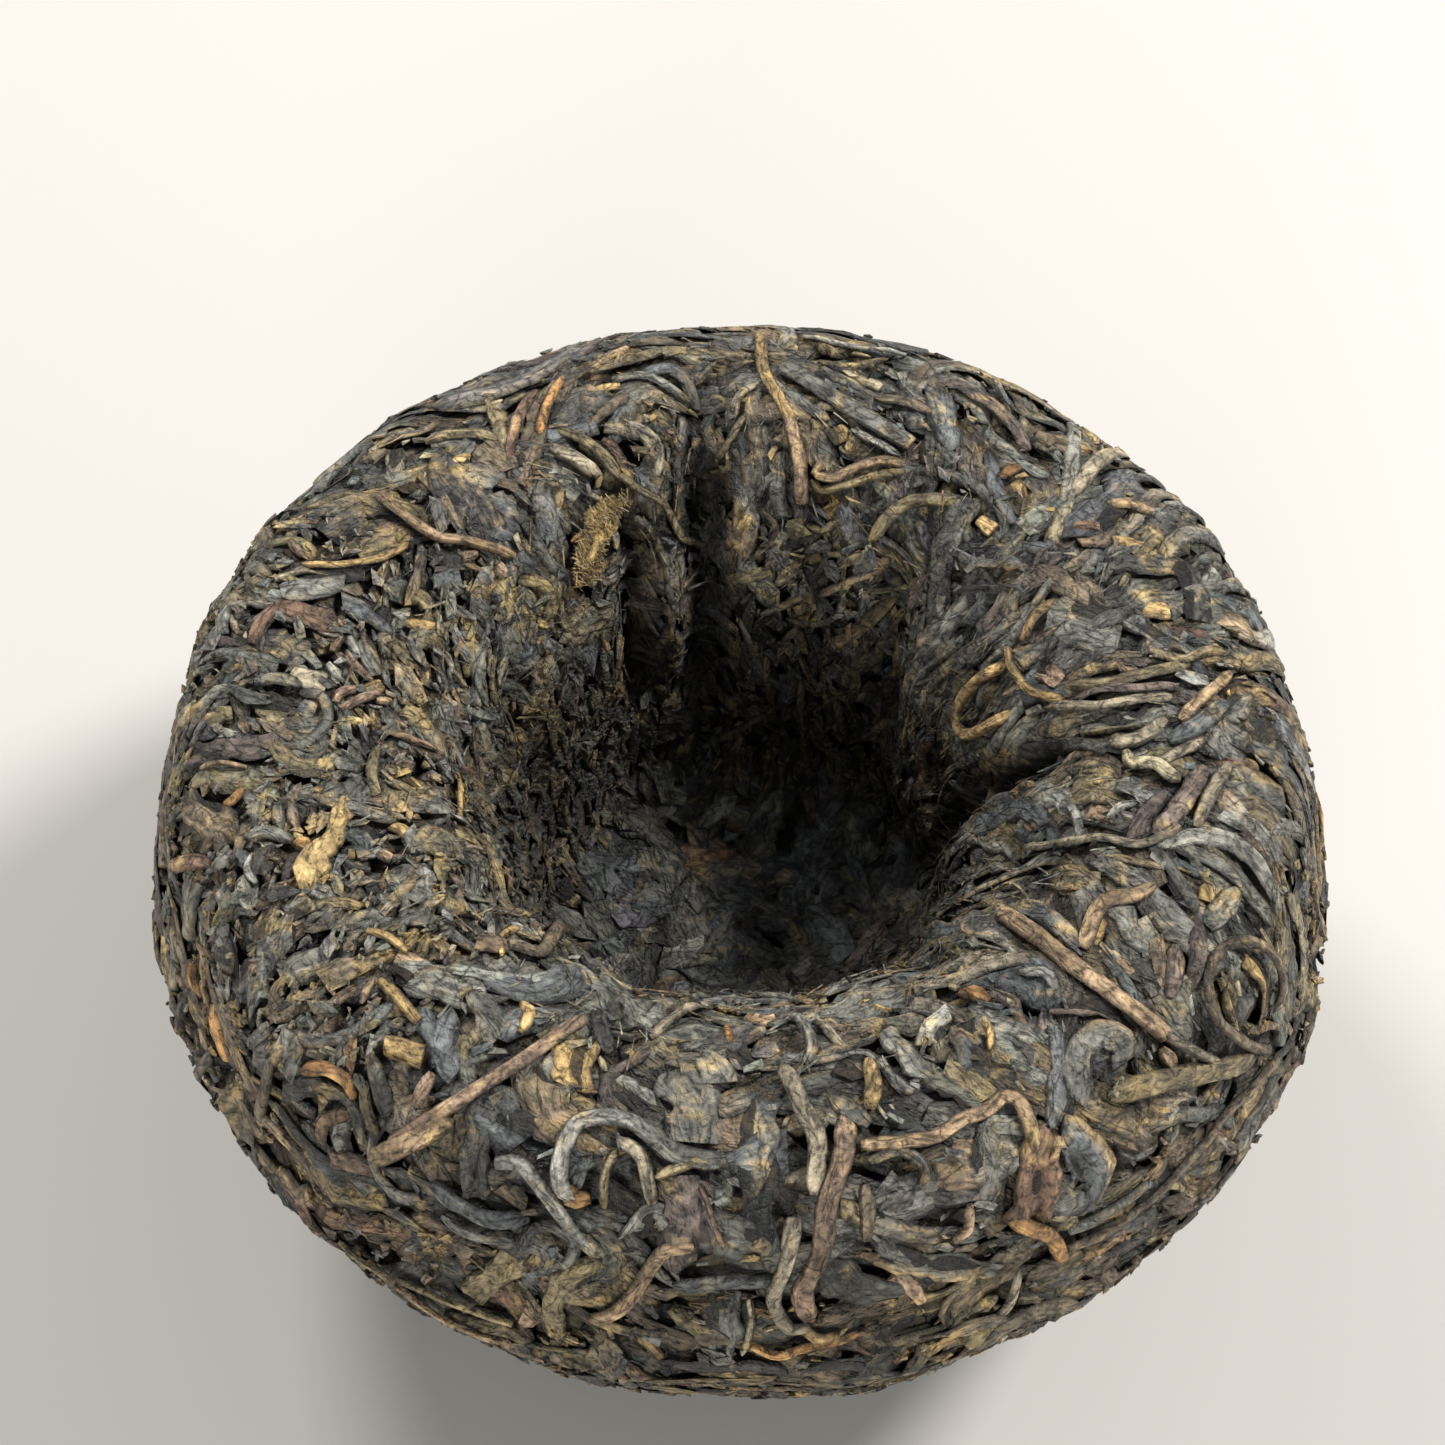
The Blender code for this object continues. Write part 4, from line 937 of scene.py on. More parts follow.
def add_leaf(piece, chart, path, length, half_width, half_thick, level, chance, tone, dust, blunt, rough,
             relief, roll, slant, dip, cell=0.4, tips=1.0, pitch=0.9, curl=0.0, tilt=0.0, dip_run=1.0,
             square=5.0, tip_tone=None, rim_tone=None, rim=1, top=TOP, sway=0.2, soft=True, fold=0.12):
    """One leaf or strand laid along a path and draped on the ground at its level.

    Its outline narrows to blunt over tips at both ends and is rough. Its section has corners as hard
    as square, curls up, rolls by roll and sways, and the ends slant and dip. Relief of that pitch and
    folds stand on it, and none of it stands above top. Its tone gives way to others at one tip and
    on the side that rim gives.
    """
    u, v = path
    share = np.linspace(0, 1, len(u))
    run = share * length
    ends = np.minimum(share, 1 - share) * length
    taper = blunt + (1 - blunt) * np.clip(ends / (tips * half_width + 0.1), 0, 1) ** 0.7
    sides = int(np.clip(2 * half_width / cell + 2, 4, 13))
    x_top = np.sin(np.linspace(-0.5, 0.5, sides) * math.pi * 0.86) / math.sin(0.43 * math.pi)
    x = np.append(x_top[::-1], 0.0)
    y = (1 - np.abs(x) ** square) ** (1 / square)
    y[-1] = -0.8
    right, left = (
        half_width * taper * (1 + rough * (ragged(run, 0.7, chance) + ragged(run, 2.3, chance)))
        for _ in range(2)
    )
    flank = x * np.where(x > 0, right[:, None], left[:, None])
    thick = half_thick * (0.6 + 0.4 * taper) * (1 + 0.15 * ragged(run, 1.5, chance))
    seed = chance.uniform(0, 60)
    lengthwise = np.broadcast_to(run[:, None], flank.shape)
    crease = crumple(lengthwise, flank, seed, pitch)
    folded = facets(0.4 * lengthwise, flank, seed + 7.0, 0.85)
    height = y * thick[:, None] + curl * half_width * (x ** 2 - 0.4)
    turned = roll + sway * np.sin(run / chance.uniform(1.5, 4.0) + chance.uniform(0, ANY_TURN))
    cosine, sine = np.cos(turned)[:, None], np.sin(turned)[:, None]
    off_x = flank * cosine - height * sine
    off_y = flank * sine + height * cosine
    scale = chart.scale(u, v)
    du = np.gradient(u) * scale
    dv = np.gradient(v)
    norm = np.hypot(du, dv) + 1e-9
    du, dv = (du / norm)[:, None], (dv / norm)[:, None]
    cut = off_x * slant * (2 * share - 1)[:, None]
    grid_u = u[:, None] + (dv * off_x + du * cut) / scale[:, None]
    grid_v = v[:, None] - du * off_x + dv * cut
    sunk = dip * np.exp(-((ends / dip_run) ** 2))
    lift = (level - sunk + tilt * (share - 0.5) * length)[:, None] + off_y
    if soft:
        lift = press(lift)
    lift = np.minimum(lift + (relief * crease + fold * folded) * np.clip(y, 0, 1), top)
    land = 0.3 * chart.ground(u, v)[:, None] + 0.7 * chart.ground(grid_u, grid_v)
    shade = np.empty((*flank.shape, 4))
    shade[..., :3] = tone
    if tip_tone is not None:
        near_tip = np.exp(-((run / (0.3 * length + 0.3)) ** 2))[:, None, None]
        shade[..., :3] = shade[..., :3] * (1 - near_tip) + np.array(tip_tone) * near_tip
    # A rim of another tone on one side: partly the leaf's own worn and golden edge, partly a painted
    # highlight
    if rim_tone is not None:
        near_rim = np.clip((rim * x - 0.4) / 0.5, 0, 1)
        near_rim = near_rim * np.clip(0.6 + 0.9 * ragged(run, 2.0, chance), 0, 1)[:, None]
        shade[..., :3] += (np.array(rim_tone) - shade[..., :3]) * near_rim[..., None]
    # Painted shade and highlight: the tone is darker in the relief's creases and lighter on its ridges
    shade[..., :3] *= np.clip(0.95 + 0.4 * crease + 0.35 * folded, 0.4, 1.5)[..., None]
    shade[..., 3] = dust + chart.dust(grid_u, grid_v)
    # Painted shade: darker towards the leaf's edges and darkest on its underside, as a contact shadow
    edge_shade = 1 - 0.88 * np.abs(x) ** (5 + 2 * half_width)
    edge_shade[-1] = 0.2
    light = light_at(chart.along(grid_u, grid_v), lift, land) * edge_shade
    # Painted shade at the narrowed ends, which dive under the leaves around them
    piece.add_rings(
        chart.place(grid_u, grid_v, lift + land),
        np.stack([lengthwise, flank, np.full(flank.shape, 3.7 * seed)], -1), shade,
        light * (0.45 + 0.55 * taper ** 2)[:, None],
    )
    return grid_u, grid_v


def camera_place():
    """The photograph's camera in mm, and how far it looks down, in radians."""
    elevation = math.radians(CAMERA_ELEVATION)
    x, y, z = CAMERA_TARGET
    back, up = CAMERA_DISTANCE * math.cos(elevation), CAMERA_DISTANCE * math.sin(elevation)
    return Vector((x, y - back, z + up)), elevation - LIFTED


def sight():
    """A function from a pixel of the photograph to the place on the form that it shows."""
    around, along = np.meshgrid(np.arange(0.0, 360.0), np.linspace(0.5, BASE_EDGE, 220), indexing="ij")
    points = form(around, along, ground(around, along))
    index = np.arange(points.shape[0] * points.shape[1]).reshape(points.shape[:2])
    after = np.roll(index, -1, axis=0)
    quads = np.stack([index[:, :-1], index[:, 1:], after[:, 1:], after[:, :-1]], -1).reshape(-1, 4)
    tree = BVHTree.FromPolygons(points.reshape(-1, 3).tolist(), quads.tolist())
    eye, tilt = camera_place()
    ahead = Vector((0.0, math.cos(tilt), -math.sin(tilt)))
    upward = Vector((0.0, math.sin(tilt), math.cos(tilt)))
    middle = Vector((IMAGE_SIDE / 2, AXIS_PIXEL_Y + 40))

    def place(pixel):
        pixel = Vector(pixel)
        while True:
            right = (pixel.x - IMAGE_SIDE / 2) / FOCAL_PIXELS
            up = (IMAGE_SIDE / 2 - pixel.y) / FOCAL_PIXELS
            hit = tree.ray_cast(eye, (ahead + Vector((right, 0.0, 0.0)) + up * upward).normalized())[0]
            if hit is not None:
                break
            pixel += 0.01 * (middle - pixel)
        turn = math.degrees(math.atan2(hit.y, hit.x)) % 360
        radius = math.hypot(hit.x, hit.y) / roundness(turn)
        at = np.linspace(0.0, BASE_EDGE, 1400)
        away = np.hypot(radius_at(at) - radius, height_at(at) - hit.z)
        return turn, float(at[np.argmin(away)])

    return place


def lay_traced(place, pieces, chance):
    """The strands read off the photograph, which the layers above keep clear of. Returns the buds."""
    buds = []
    for _, kind, tone, width, pixels in TRACED:
        thick_share, most_thick, level, blunt, tips, rough, relief, dip, fold = KINDS[kind]
        flat = kind == "leaf"
        half_width = 0.5 * width
        u, v, length = smooth_path(Side, [place(pixel) for pixel in pixels], 0.4)
        grid_u, grid_v = add_leaf(
            pieces[kind], Side, (u, v), length, half_width, min(thick_share * width, most_thick), level,
            chance, np.array(TONES[tone]) * chance.uniform(0.92, 1.08), cell=0.3,
            dust=0.5 if "gold" in tone else 0.2, blunt=blunt, tips=tips, rough=rough, relief=relief,
            pitch=1.1 if flat else 0.8, roll=chance.normal(0, 0.08), dip=dip, dip_run=0.6 + half_width,
            top=0.4 if flat else 1.1, square=2.2 if kind in ROUND_KINDS else 4.0, sway=0.12, soft=flat,
            slant=chance.uniform(-0.6, 0.6) if flat else 0.0, fold=fold,
            rim_tone=TONES[chance.choice(RIM_TONES)] if flat and "slate" in tone else None,
            rim=chance.choice((-1, 1)),
        )
        end = len(u) // 8 + 1
        TAKEN[cells(grid_u[end:-end], grid_v[end:-end])] = True
        if kind == "bud":
            buds.append((u, v, half_width))
    return buds


class Habit:
    """How the leaves lie in one region.

    It holds their size, their heading from the way around and its spread in degrees, how much they
    swirl, their dust, how long they are for their size, the share of flakes and the colours' weights.
    """

    def __init__(self, size, heading, waver, swirl, dust, slender, flakes, weights):
        self.size = size
        self.heading = heading
        self.waver = waver
        self.swirl = swirl
        self.dust = dust
        self.slender = slender
        self.flakes = flakes
        self.weights = np.array(weights, float) / sum(weights)


TONE_NAMES = ("slate", "light_slate", "blue_slate", "charcoal", "brown", "plum", "olive", "grey_tan",
              "gold", "red_brown")
RIM_TONES = ("olive", "olive", "grey_tan", "light_slate", "gold")
# The underside, the dome and the low front lean to brown: partly the leaves' own colour, partly a painted
# warm reflection
UNDERSIDE = Habit(1.3, 10, 45, 1.4, 0.33, 1.0, 0.3, (10, 1, 4, 32, 34, 9, 6, 2, 1, 6))
DOME = Habit(0.9, 10, 30, 1.3, 0.33, 1.0, 0.3, (7, 1, 3, 38, 33, 10, 4, 1, 1, 6))
LOW = Habit(0.9, 14, 20, 1.0, 0.45, 1.0, 0.25, (12, 1, 4, 26, 38, 7, 8, 3, 2, 8))
WALL = Habit(0.5, 85, 22, 0.5, 0.45, 1.0, 0.6, (26, 1, 10, 32, 18, 6, 7, 1, 1, 1))
HOLLOW = Habit(1.0, 0, 0, 0.0, 0.05, 1.0, 1.0, (30, 1, 48, 15, 3, 2, 1, 0, 0, 1))
RIGHT = Habit(1.0, 92, 13, 0.45, 0.25, 1.0, 0.08, (42, 5, 18, 14, 9, 4, 8, 4, 1, 1))
RIGHT_BACK = Habit(0.78, 40, 20, 1.2, 0.3, 1.0, 0.1, (42, 5, 18, 14, 9, 4, 8, 4, 1, 1))
BACK_EDGE = Habit(1.0, 12, 16, 0.6, 0.35, 1.0, 0.1, (40, 4, 16, 16, 12, 4, 9, 4, 1, 1))
LIP = Habit(0.6, 85, 38, 0.6, 0.4, 0.9, 1.0, (38, 6, 14, 14, 10, 4, 8, 5, 2, 1))
BACK = Habit(0.86, 88, 18, 1.1, 0.33, 1.0, 0.12, (38, 4, 16, 16, 13, 4, 9, 4, 1, 1))
LEFT = Habit(0.76, 90, 30, 0.9, 0.42, 0.75, 1.0, (44, 4, 8, 12, 17, 5, 7, 3, 0, 2))
FRONT = Habit(1.0, 60, 22, 1.5, 0.28, 1.0, 0.1, (44, 10, 14, 7, 8, 4, 7, 6, 1, 1))
TIPS = Habit(1.0, 80, 40, 1.0, 0.6, 1.0, 1.0, (2, 2, 0, 0, 6, 0, 30, 20, 40, 0))
FUZZ = Habit(1.0, 60, 24, 0.0, 0.6, 1.0, 1.0, (0, 0, 0, 0, 0, 0, 25, 15, 60, 0))


# Regions: from and to along the profile, from and to around, and habit. The first that fits counts.
REGIONS = (
    (92, 999, -180, 180, UNDERSIDE),
    (70, 999, -180, 180, DOME),
    (61, 999, -180, 180, LOW),
    (0, 30, -180, 180, WALL),
    (46, 999, 60, 150, BACK_EDGE),
    (0, 36, -132, -48, LIP),
    (0, 36, 42, 140, LIP),
    (0, 999, -48, 42, RIGHT),
    (0, 999, 42, 82, RIGHT_BACK),
    (0, 999, 82, 140, BACK),
    (0, 999, -132, -48, FRONT),
    (0, 999, -180, 180, LEFT),
)


def habit(around, along):
    turn = (around + 180) % 360 - 180
    for near, far, start, end, found in REGIONS:
        if near < along < far and start <= turn < end:
            return found


def pick_tone(place, chance):
    """A leaf's colour by chance."""
    name = TONE_NAMES[int(chance.choice(len(TONE_NAMES), p=place.weights))]
    pale = TONES[name][0] > PALE
    tone = np.array(TONES[name]) * chance.uniform(0.65, 0.95 if pale else 1.3)
    return tone * (1 + chance.normal(0, 0.025, 3))


# Coverage of one layer, on a coarse grid, so that its strands don't pile up
COVER_A = 480
COVER_STEP = 0.55


def new_cover():
    return np.zeros((COVER_A, int(BASE_EDGE / COVER_STEP) + 1), bool)


def cells(u, v):
    return grid_cells(u, v, COVER_A, COVER_STEP)


# Where the traced strands lie
TAKEN = new_cover()


def random_place(chance):
    while True:
        around = chance.uniform(0, 360)
        along = chance.uniform(Side.low, Side.high)
        if chance.uniform() < radius_at(along) / OUTER_RADIUS:
            return around, along


def lay_leaves(piece, chance, levels, tries, widths, lengths, most_overlap, cell, relief,
               blunt=(0.4, 0.9), thick=(0.12, 0.3), rough=0.24, clear=False, hooks=0.06, top=TOP):
    """Leaves by chance, each accepted where its layer is still free, and clear of the traced if asked."""
    cover = TAKEN.copy() if clear else new_cover()
    for k in range(tries):
        around, along = random_place(chance)
        if cover[cells(around, along)]:
            continue
        place = habit(around, along)
        half_width = 0.5 * widths[0] * (widths[1] / widths[0]) ** (chance.uniform() ** 1.3) * place.size
        large = LARGE_LENGTH if clear and k < LARGE_FIRST * tries else 0.0
        length = lengths[0] * (lengths[1] / lengths[0]) ** chance.uniform(large, 1.0)
        length *= place.size * place.slender
        half_width = max(half_width, LEAST_HALF_WIDTH)
        length = max(length, LEAST_LENGTH)
        turned = math.radians(chance.normal(place.heading, place.waver))
        turned += place.swirl * float(flow(around, along))
        size = cell * (COARSE if along > COARSE_FROM else 1.0)
        bend = chance.normal(0, 0.6) if chance.uniform() > hooks else chance.choice((-1, 1)) * HOOK_BEND
        u, v = walk(Side, around, along, turned, length, bend, chance.normal(0, 0.2),
                    chance.uniform(0, ANY_TURN), max(4, int(length / (1.3 * size))), place.swirl)
        draws = chance.uniform(0, 1, 8)
        if np.ptp(ground(u, v)) > MOST_BRIDGED:
            continue
        if (v < Side.low - 1).any() or (v > Side.high + 1).any():
            continue
        under = cells(np.concatenate([u, u]), np.concatenate([v - half_width, v + half_width]))
        if cover[under].mean() > most_overlap:
            continue
        tone = pick_tone(place, chance)
        if half_width > WIDE:
            tone = tone * min(1.0, WIDE_TONE / tone.max())
        cover[cells(*add_leaf(
            piece, Side, (u, v), length, half_width, thick[0] + (thick[1] - thick[0]) * draws[0],
            levels[0] + (levels[1] - levels[0]) * draws[1], chance, tone, cell=size,
            dust=place.dust * (0.2 + 1.8 * draws[2] ** 2),
            blunt=blunt[0] + (blunt[1] - blunt[0]) * draws[3], tips=0.6 + draws[4],
            rough=rough * (0.5 + draws[5]), relief=relief * (0.6 + 0.8 * draws[6]),
            pitch=0.65 + 0.7 * draws[7], curl=chance.normal(0, LEAF_CURL),
            roll=chance.normal(0, LEAF_ROLL), tilt=chance.normal(0, LEAF_TILT),
            slant=chance.normal(0, LEAF_SLANT), dip=0.15 + 0.4 * draws[4], dip_run=0.9, top=top,
            tip_tone=TONES["olive" if draws[0] < 0.7 else "tan"] if draws[5] < TIP_SHARE else None,
            rim_tone=TONES[chance.choice(RIM_TONES)] if draws[7] < RIM_SHARE else None,
            rim=chance.choice((-1, 1)),
        ))] = True


def lay_flat(piece, chart, chance, count, radius, levels, place):
    """Leaves by chance on the floor of the hollow or on the flat spot underneath."""
    for _ in range(count):
        away = radius * math.sqrt(chance.uniform())
        turn = chance.uniform(0, 2 * math.pi)
        half_width = chance.uniform(0.5, 1.7)
        length = chance.uniform(2.0, 6.0)
        path = walk(chart, away * math.cos(turn), away * math.sin(turn), chance.uniform(0, ANY_TURN),
                    length, chance.normal(0, 0.6), 0.1, 0.0, max(5, int(length / 0.6)))
        add_leaf(piece, chart, path, length, half_width, chance.uniform(0.12, 0.3),
                 chance.uniform(*levels), chance, pick_tone(place, chance), dust=place.dust, blunt=0.8,
                 rough=0.4, relief=0.2, curl=chance.normal(0, 0.05), roll=chance.normal(0, 0.06),
                 tilt=chance.normal(0, 0.05), dip=0.1, slant=chance.normal(0, 0.6), sway=0.1)


def scatter(chance, count, low, high, by_flakes=False):
    """Places by chance over the form, thinned by their region's share of flakes if asked."""
    around = chance.uniform(0, 360, 4 * count)
    along = chance.uniform(low, high, 4 * count)
    kept = chance.uniform(0, 1, 4 * count) < radius_at(along) / OUTER_RADIUS
    kept &= ~TAKEN[cells(around, along)]
    around, along = around[kept], along[kept]
    places = [habit(a, s) for a, s in zip(around, along)]
    shares = [place.flakes if by_flakes else 1.0 for place in places]
    kept = np.flatnonzero(chance.uniform(0, 1, len(places)) < shares)[:count]
    return around[kept], along[kept], [places[k] for k in kept]


BOX_CORNERS = 0.5 * np.array([
    (-1, -1, -1), (-1, 1, -1), (-1, 1, 1), (-1, -1, 1),
    (1, -1, -1), (1, 1, -1), (1, 1, 1), (1, -1, 1),
], float)
BOX_FACES = [(0, 1, 2, 3), (4, 7, 6, 5), (0, 4, 5, 1), (3, 2, 6, 7), (1, 5, 6, 2), (0, 3, 7, 4)]


def slips(chance, long, wide, thick, uneven):
    """The corners of small uneven boxes of those sizes."""
    local = BOX_CORNERS * np.stack([long, wide, thick], -1)[:, None, :]
    return local * (1 + uneven * chance.uniform(-1, 1, local.shape))


def make_bits(name, chance, around, along, places, local, faces, levels, material, tilt=0.2, top=TOP):
    """One mesh of small bits: copies of one pattern of faces, each with corners of its own."""
    count, corners = local.shape[:2]
    heading = np.radians(chance.normal([p.heading for p in places], [1.4 * p.waver for p in places]))
    heading += flow(around, along) * [p.swirl for p in places]
    pitch = chance.normal(0, tilt, count)[:, None]
    yaw = chance.normal(0, tilt, count)[:, None]
    cosine, sine = np.cos(heading)[:, None], np.sin(heading)[:, None]
    flat_x = local[..., 0] * np.cos(pitch)
    flat_y = local[..., 1] * np.cos(yaw)
    rise = local[..., 2] + local[..., 0] * np.sin(pitch) + local[..., 1] * np.sin(yaw)
    scale = Side.scale(around, along)
    grid_u = around[:, None] + (flat_x * cosine - flat_y * sine) / scale[:, None]
    grid_v = along[:, None] + flat_x * sine + flat_y * cosine
    lift = np.minimum(chance.uniform(*levels, count)[:, None] + rise, top)
    land = ground(grid_u, grid_v)
    points = form(grid_u, grid_v, lift + land)
    faces = np.array(faces)
    faces = (faces[None] + corners * np.arange(count)[:, None, None]).reshape(-1, faces.shape[1])
    quads, tris = (faces if faces.shape[1] == sides else np.zeros((0, sides), int) for sides in (4, 3))
    tones = np.ones((count, corners, 4))
    tones[..., :3] = np.array([pick_tone(p, chance) for p in places])[:, None, :]
    tones[..., :3] *= chance.uniform(0.8, 1.25, (count, corners, 1))
    tones[..., 3] = np.array([p.dust for p in places])[:, None] * chance.uniform(0.2, 1.5, (count, 1))
    tones[..., 3] += dust_at(grid_u, grid_v)
    strand = local + 10 * np.arange(count)[:, None, None]
    make_mesh(name, points.reshape(-1, 3), quads, tris, strand.reshape(-1, 3), tones.reshape(-1, 4),
              light_at(grid_v, lift, land).ravel(), material)


def lay_crumbs(name, chance, count, levels, sizes, slim, material, low=Side.low, high=Side.high,
               tilt=0.2, top=TOP):
    """Broken bits: small bent slips of eight corners, lying any way in the creases."""
    around, along, places = scatter(chance, count, low, high)
    count = len(places)
    long = sizes[0] * (sizes[1] / sizes[0]) ** chance.uniform(0, 1, count)
    wide = long * chance.uniform(*slim, count)
    thick = np.minimum(wide, 0.45) * chance.uniform(0.4, 0.9, count)
    local = slips(chance, long, wide, thick, 0.35)
    local[:, :4, 1:] *= chance.uniform(0.15, 0.9, (count, 1, 2))
    make_bits(name, chance, around, along, places, local, BOX_FACES, levels, material, tilt, top)


def lay_gold(name, chance, count, material):
    """Small bits of golden tips where the dust gathers."""
    around, along, places = scatter(chance, count, 14.0, 75.0)
    kept = np.flatnonzero(chance.uniform(0.1, 1.4, len(places)) < dust_at(around, along))
    count = len(kept)
    long = chance.uniform(0.3, 0.9, count)
    local = slips(chance, long, long * chance.uniform(0.25, 0.6, count), np.full(count, 0.22), 0.5)
    make_bits(name, chance, around[kept], along[kept], [TIPS] * count, local, BOX_FACES, (-0.2, 0.12),
              material)


def lay_fuzz(name, chance, buds, count, material):
    """Fine golden hairs on the buds."""
    around, along = [], []
    for u, v, half_width in buds:
        at = chance.integers(1, len(u) - 1, count)
        along.append(v[at] + chance.normal(0, 0.2, count))
        around.append(u[at] + chance.uniform(-0.9, 0.9, count) * half_width / Side.scale(u[at], v[at]))
    around, along = np.concatenate(around), np.concatenate(along)
    count = len(along)
    long, wide = chance.uniform(0.4, 1.1, count), chance.uniform(0.04, 0.09, count)
    local = slips(chance, long, wide, np.full(count, 0.05), 0.3)
    make_bits(name, chance, around, along, [FUZZ] * count, local, BOX_FACES, (0.35, 0.55), material,
              tilt=0.1, top=0.8)


def torn_bits(chance, count, sizes, corners, uneven):
    """Places of torn bits of leaf, how wide each is, and the corners round each one."""
    around, along, places = scatter(chance, count, Side.low, Side.high, by_flakes=True)
    count = len(places)
    long = sizes[0] * (sizes[1] / sizes[0]) ** chance.uniform(0, 1, count)
    wide = long * chance.uniform(0.25, 0.6, count)
    turn = np.arange(corners) + uneven * chance.uniform(-1, 1, (count, corners))
    turn = 2 * math.pi * turn / corners
    reach = chance.uniform(0.6, 1.25, (count, corners))
    outline = [0.5 * long[:, None] * np.cos(turn) * reach, 0.5 * wide[:, None] * np.sin(turn) * reach]
    return (around, along, places), wide, np.stack(outline, -1)


def lay_chips(name, chance, count, levels, sizes, material):
    """Small torn chips of leaf: five corners round a raised or sunken middle."""
    corners = 5
    where, wide, outline = torn_bits(chance, count, sizes, corners, 0.6)
    local = np.zeros((len(wide), 2 * corners + 1, 3))
    local[:, :corners, :2] = outline
    local[:, :corners, 2] = 0.16 * wide[:, None] * chance.uniform(-1, 1, (len(wide), corners))
    local[:, corners:-1] = 0.9 * local[:, :corners]
    local[:, corners:-1, 2] -= 0.2
    local[:, -1, 2] = 0.3 * wide * chance.uniform(-0.4, 1, len(wide))
    faces = [(corners, corners + k + 1, corners + k) for k in range(1, corners - 1)]
    for k in range(corners):
        n = (k + 1) % corners
        faces += [(k, n, 2 * corners), (corners + k, corners + n, n), (corners + k, n, k)]
    make_bits(name, chance, *where, local, faces, levels, material, 0.1)


def lay_flakes(name, chance, count, levels, sizes, material):
    """Torn flat bits of leaf with a ragged outline and creases: seven corners, two rings."""
    corners = 7
    where, wide, outline = torn_bits(chance, count, sizes, corners, 0.5)
    count = len(wide)
    outer, inner, below = (slice(k * corners, (k + 1) * corners) for k in range(3))
    local = np.zeros((count, 3 * corners + 1, 3))
    local[:, outer, :2] = outline
    local[:, inner, :2] = 0.52 * outline * chance.uniform(0.7, 1.3, (count, corners, 1))
    local[:, below, :2] = outline * 0.94
    bent = 0.16 * np.minimum(wide, 1.6)[:, None]
    local[:, outer, 2] = bent * chance.uniform(-1, 0.5, (count, corners))
    local[:, inner, 2] = bent * chance.uniform(-0.6, 1.2, (count, corners))
    local[:, below, 2] = local[:, outer, 2] - 0.16
    local[:, -1, 2] = bent[:, 0] * chance.uniform(-0.8, 1.2, count)
    faces = []
    for k in range(corners):
        n = (k + 1) % corners
        inner_k, inner_n, below_k, below_n = corners + k, corners + n, 2 * corners + k, 2 * corners + n
        faces += [(k, n, inner_n), (k, inner_n, inner_k), (inner_k, inner_n, 3 * corners),
                  (below_k, below_n, n), (below_k, n, k)]
        if 0 < k < corners - 1:
            faces.append((2 * corners, below_n, below_k))
    make_bits(name, chance, *where, local, faces, levels, material, 0.1)


def make_core(material):
    """The dark pressed body under the strands, charcoal and brown with painted shade for lying under them,
    and with a crumbly relief.
    """
    segments, rings, lowest = 300, 90, 0.3
    around = np.arange(segments) * 360.0 / segments
    along = np.linspace(0.0, BASE_EDGE, rings + 1)[1:]
    grid_s, grid_a = np.meshgrid(along, around, indexing="ij")
    base = form(grid_a, grid_s)
    crumbs = 0.35 * noise(base / 1.6, 11) + 0.22 * noise(base / 0.7, 12)
    edge = np.clip((BASE_EDGE - grid_s) / 3.0, 0, 1)
    lift = (CORE_LIFT + crumbs) * edge + ground(grid_a, grid_s)
    points = form(grid_a, grid_s, lift)
    points[..., 2] = np.maximum(points[..., 2], lowest)
    index = np.arange(rings * segments).reshape(rings, segments)
    after = np.roll(index, -1, axis=1)
    quads = np.stack([index[1:], after[1:], after[:-1], index[:-1]], -1).reshape(-1, 4)
    last = rings * segments
    tris = np.concatenate([
        np.stack([np.full(segments, last), index[0], after[0]], -1),
        np.stack([np.full(segments, last + 1), after[-1], index[-1]], -1),
    ])
    points = np.concatenate([points.reshape(-1, 3), [form(0.0, 0.0, CORE_LIFT)],
                             [[0.0, 0.0, lowest]]])
    tones = np.empty((len(points), 4))
    mottle = 0.5 + 0.5 * noise(points / 1.1, 14)[:, None]
    tones[:, :3] = np.array(TONES["charcoal"]) * (1 - mottle) + np.array(TONES["brown"]) * mottle
    tones[:, 3] = 0.35
    strands = np.stack([points[:, 0], points[:, 1] + points[:, 2], 0 * points[:, 0]], -1)
    lights = np.append(light_at(grid_s, CORE_LIFT + 0.4 + crumbs).ravel(), [0.1, 0.3])
    make_mesh("core", points, quads, tris, strands, tones, lights, material)


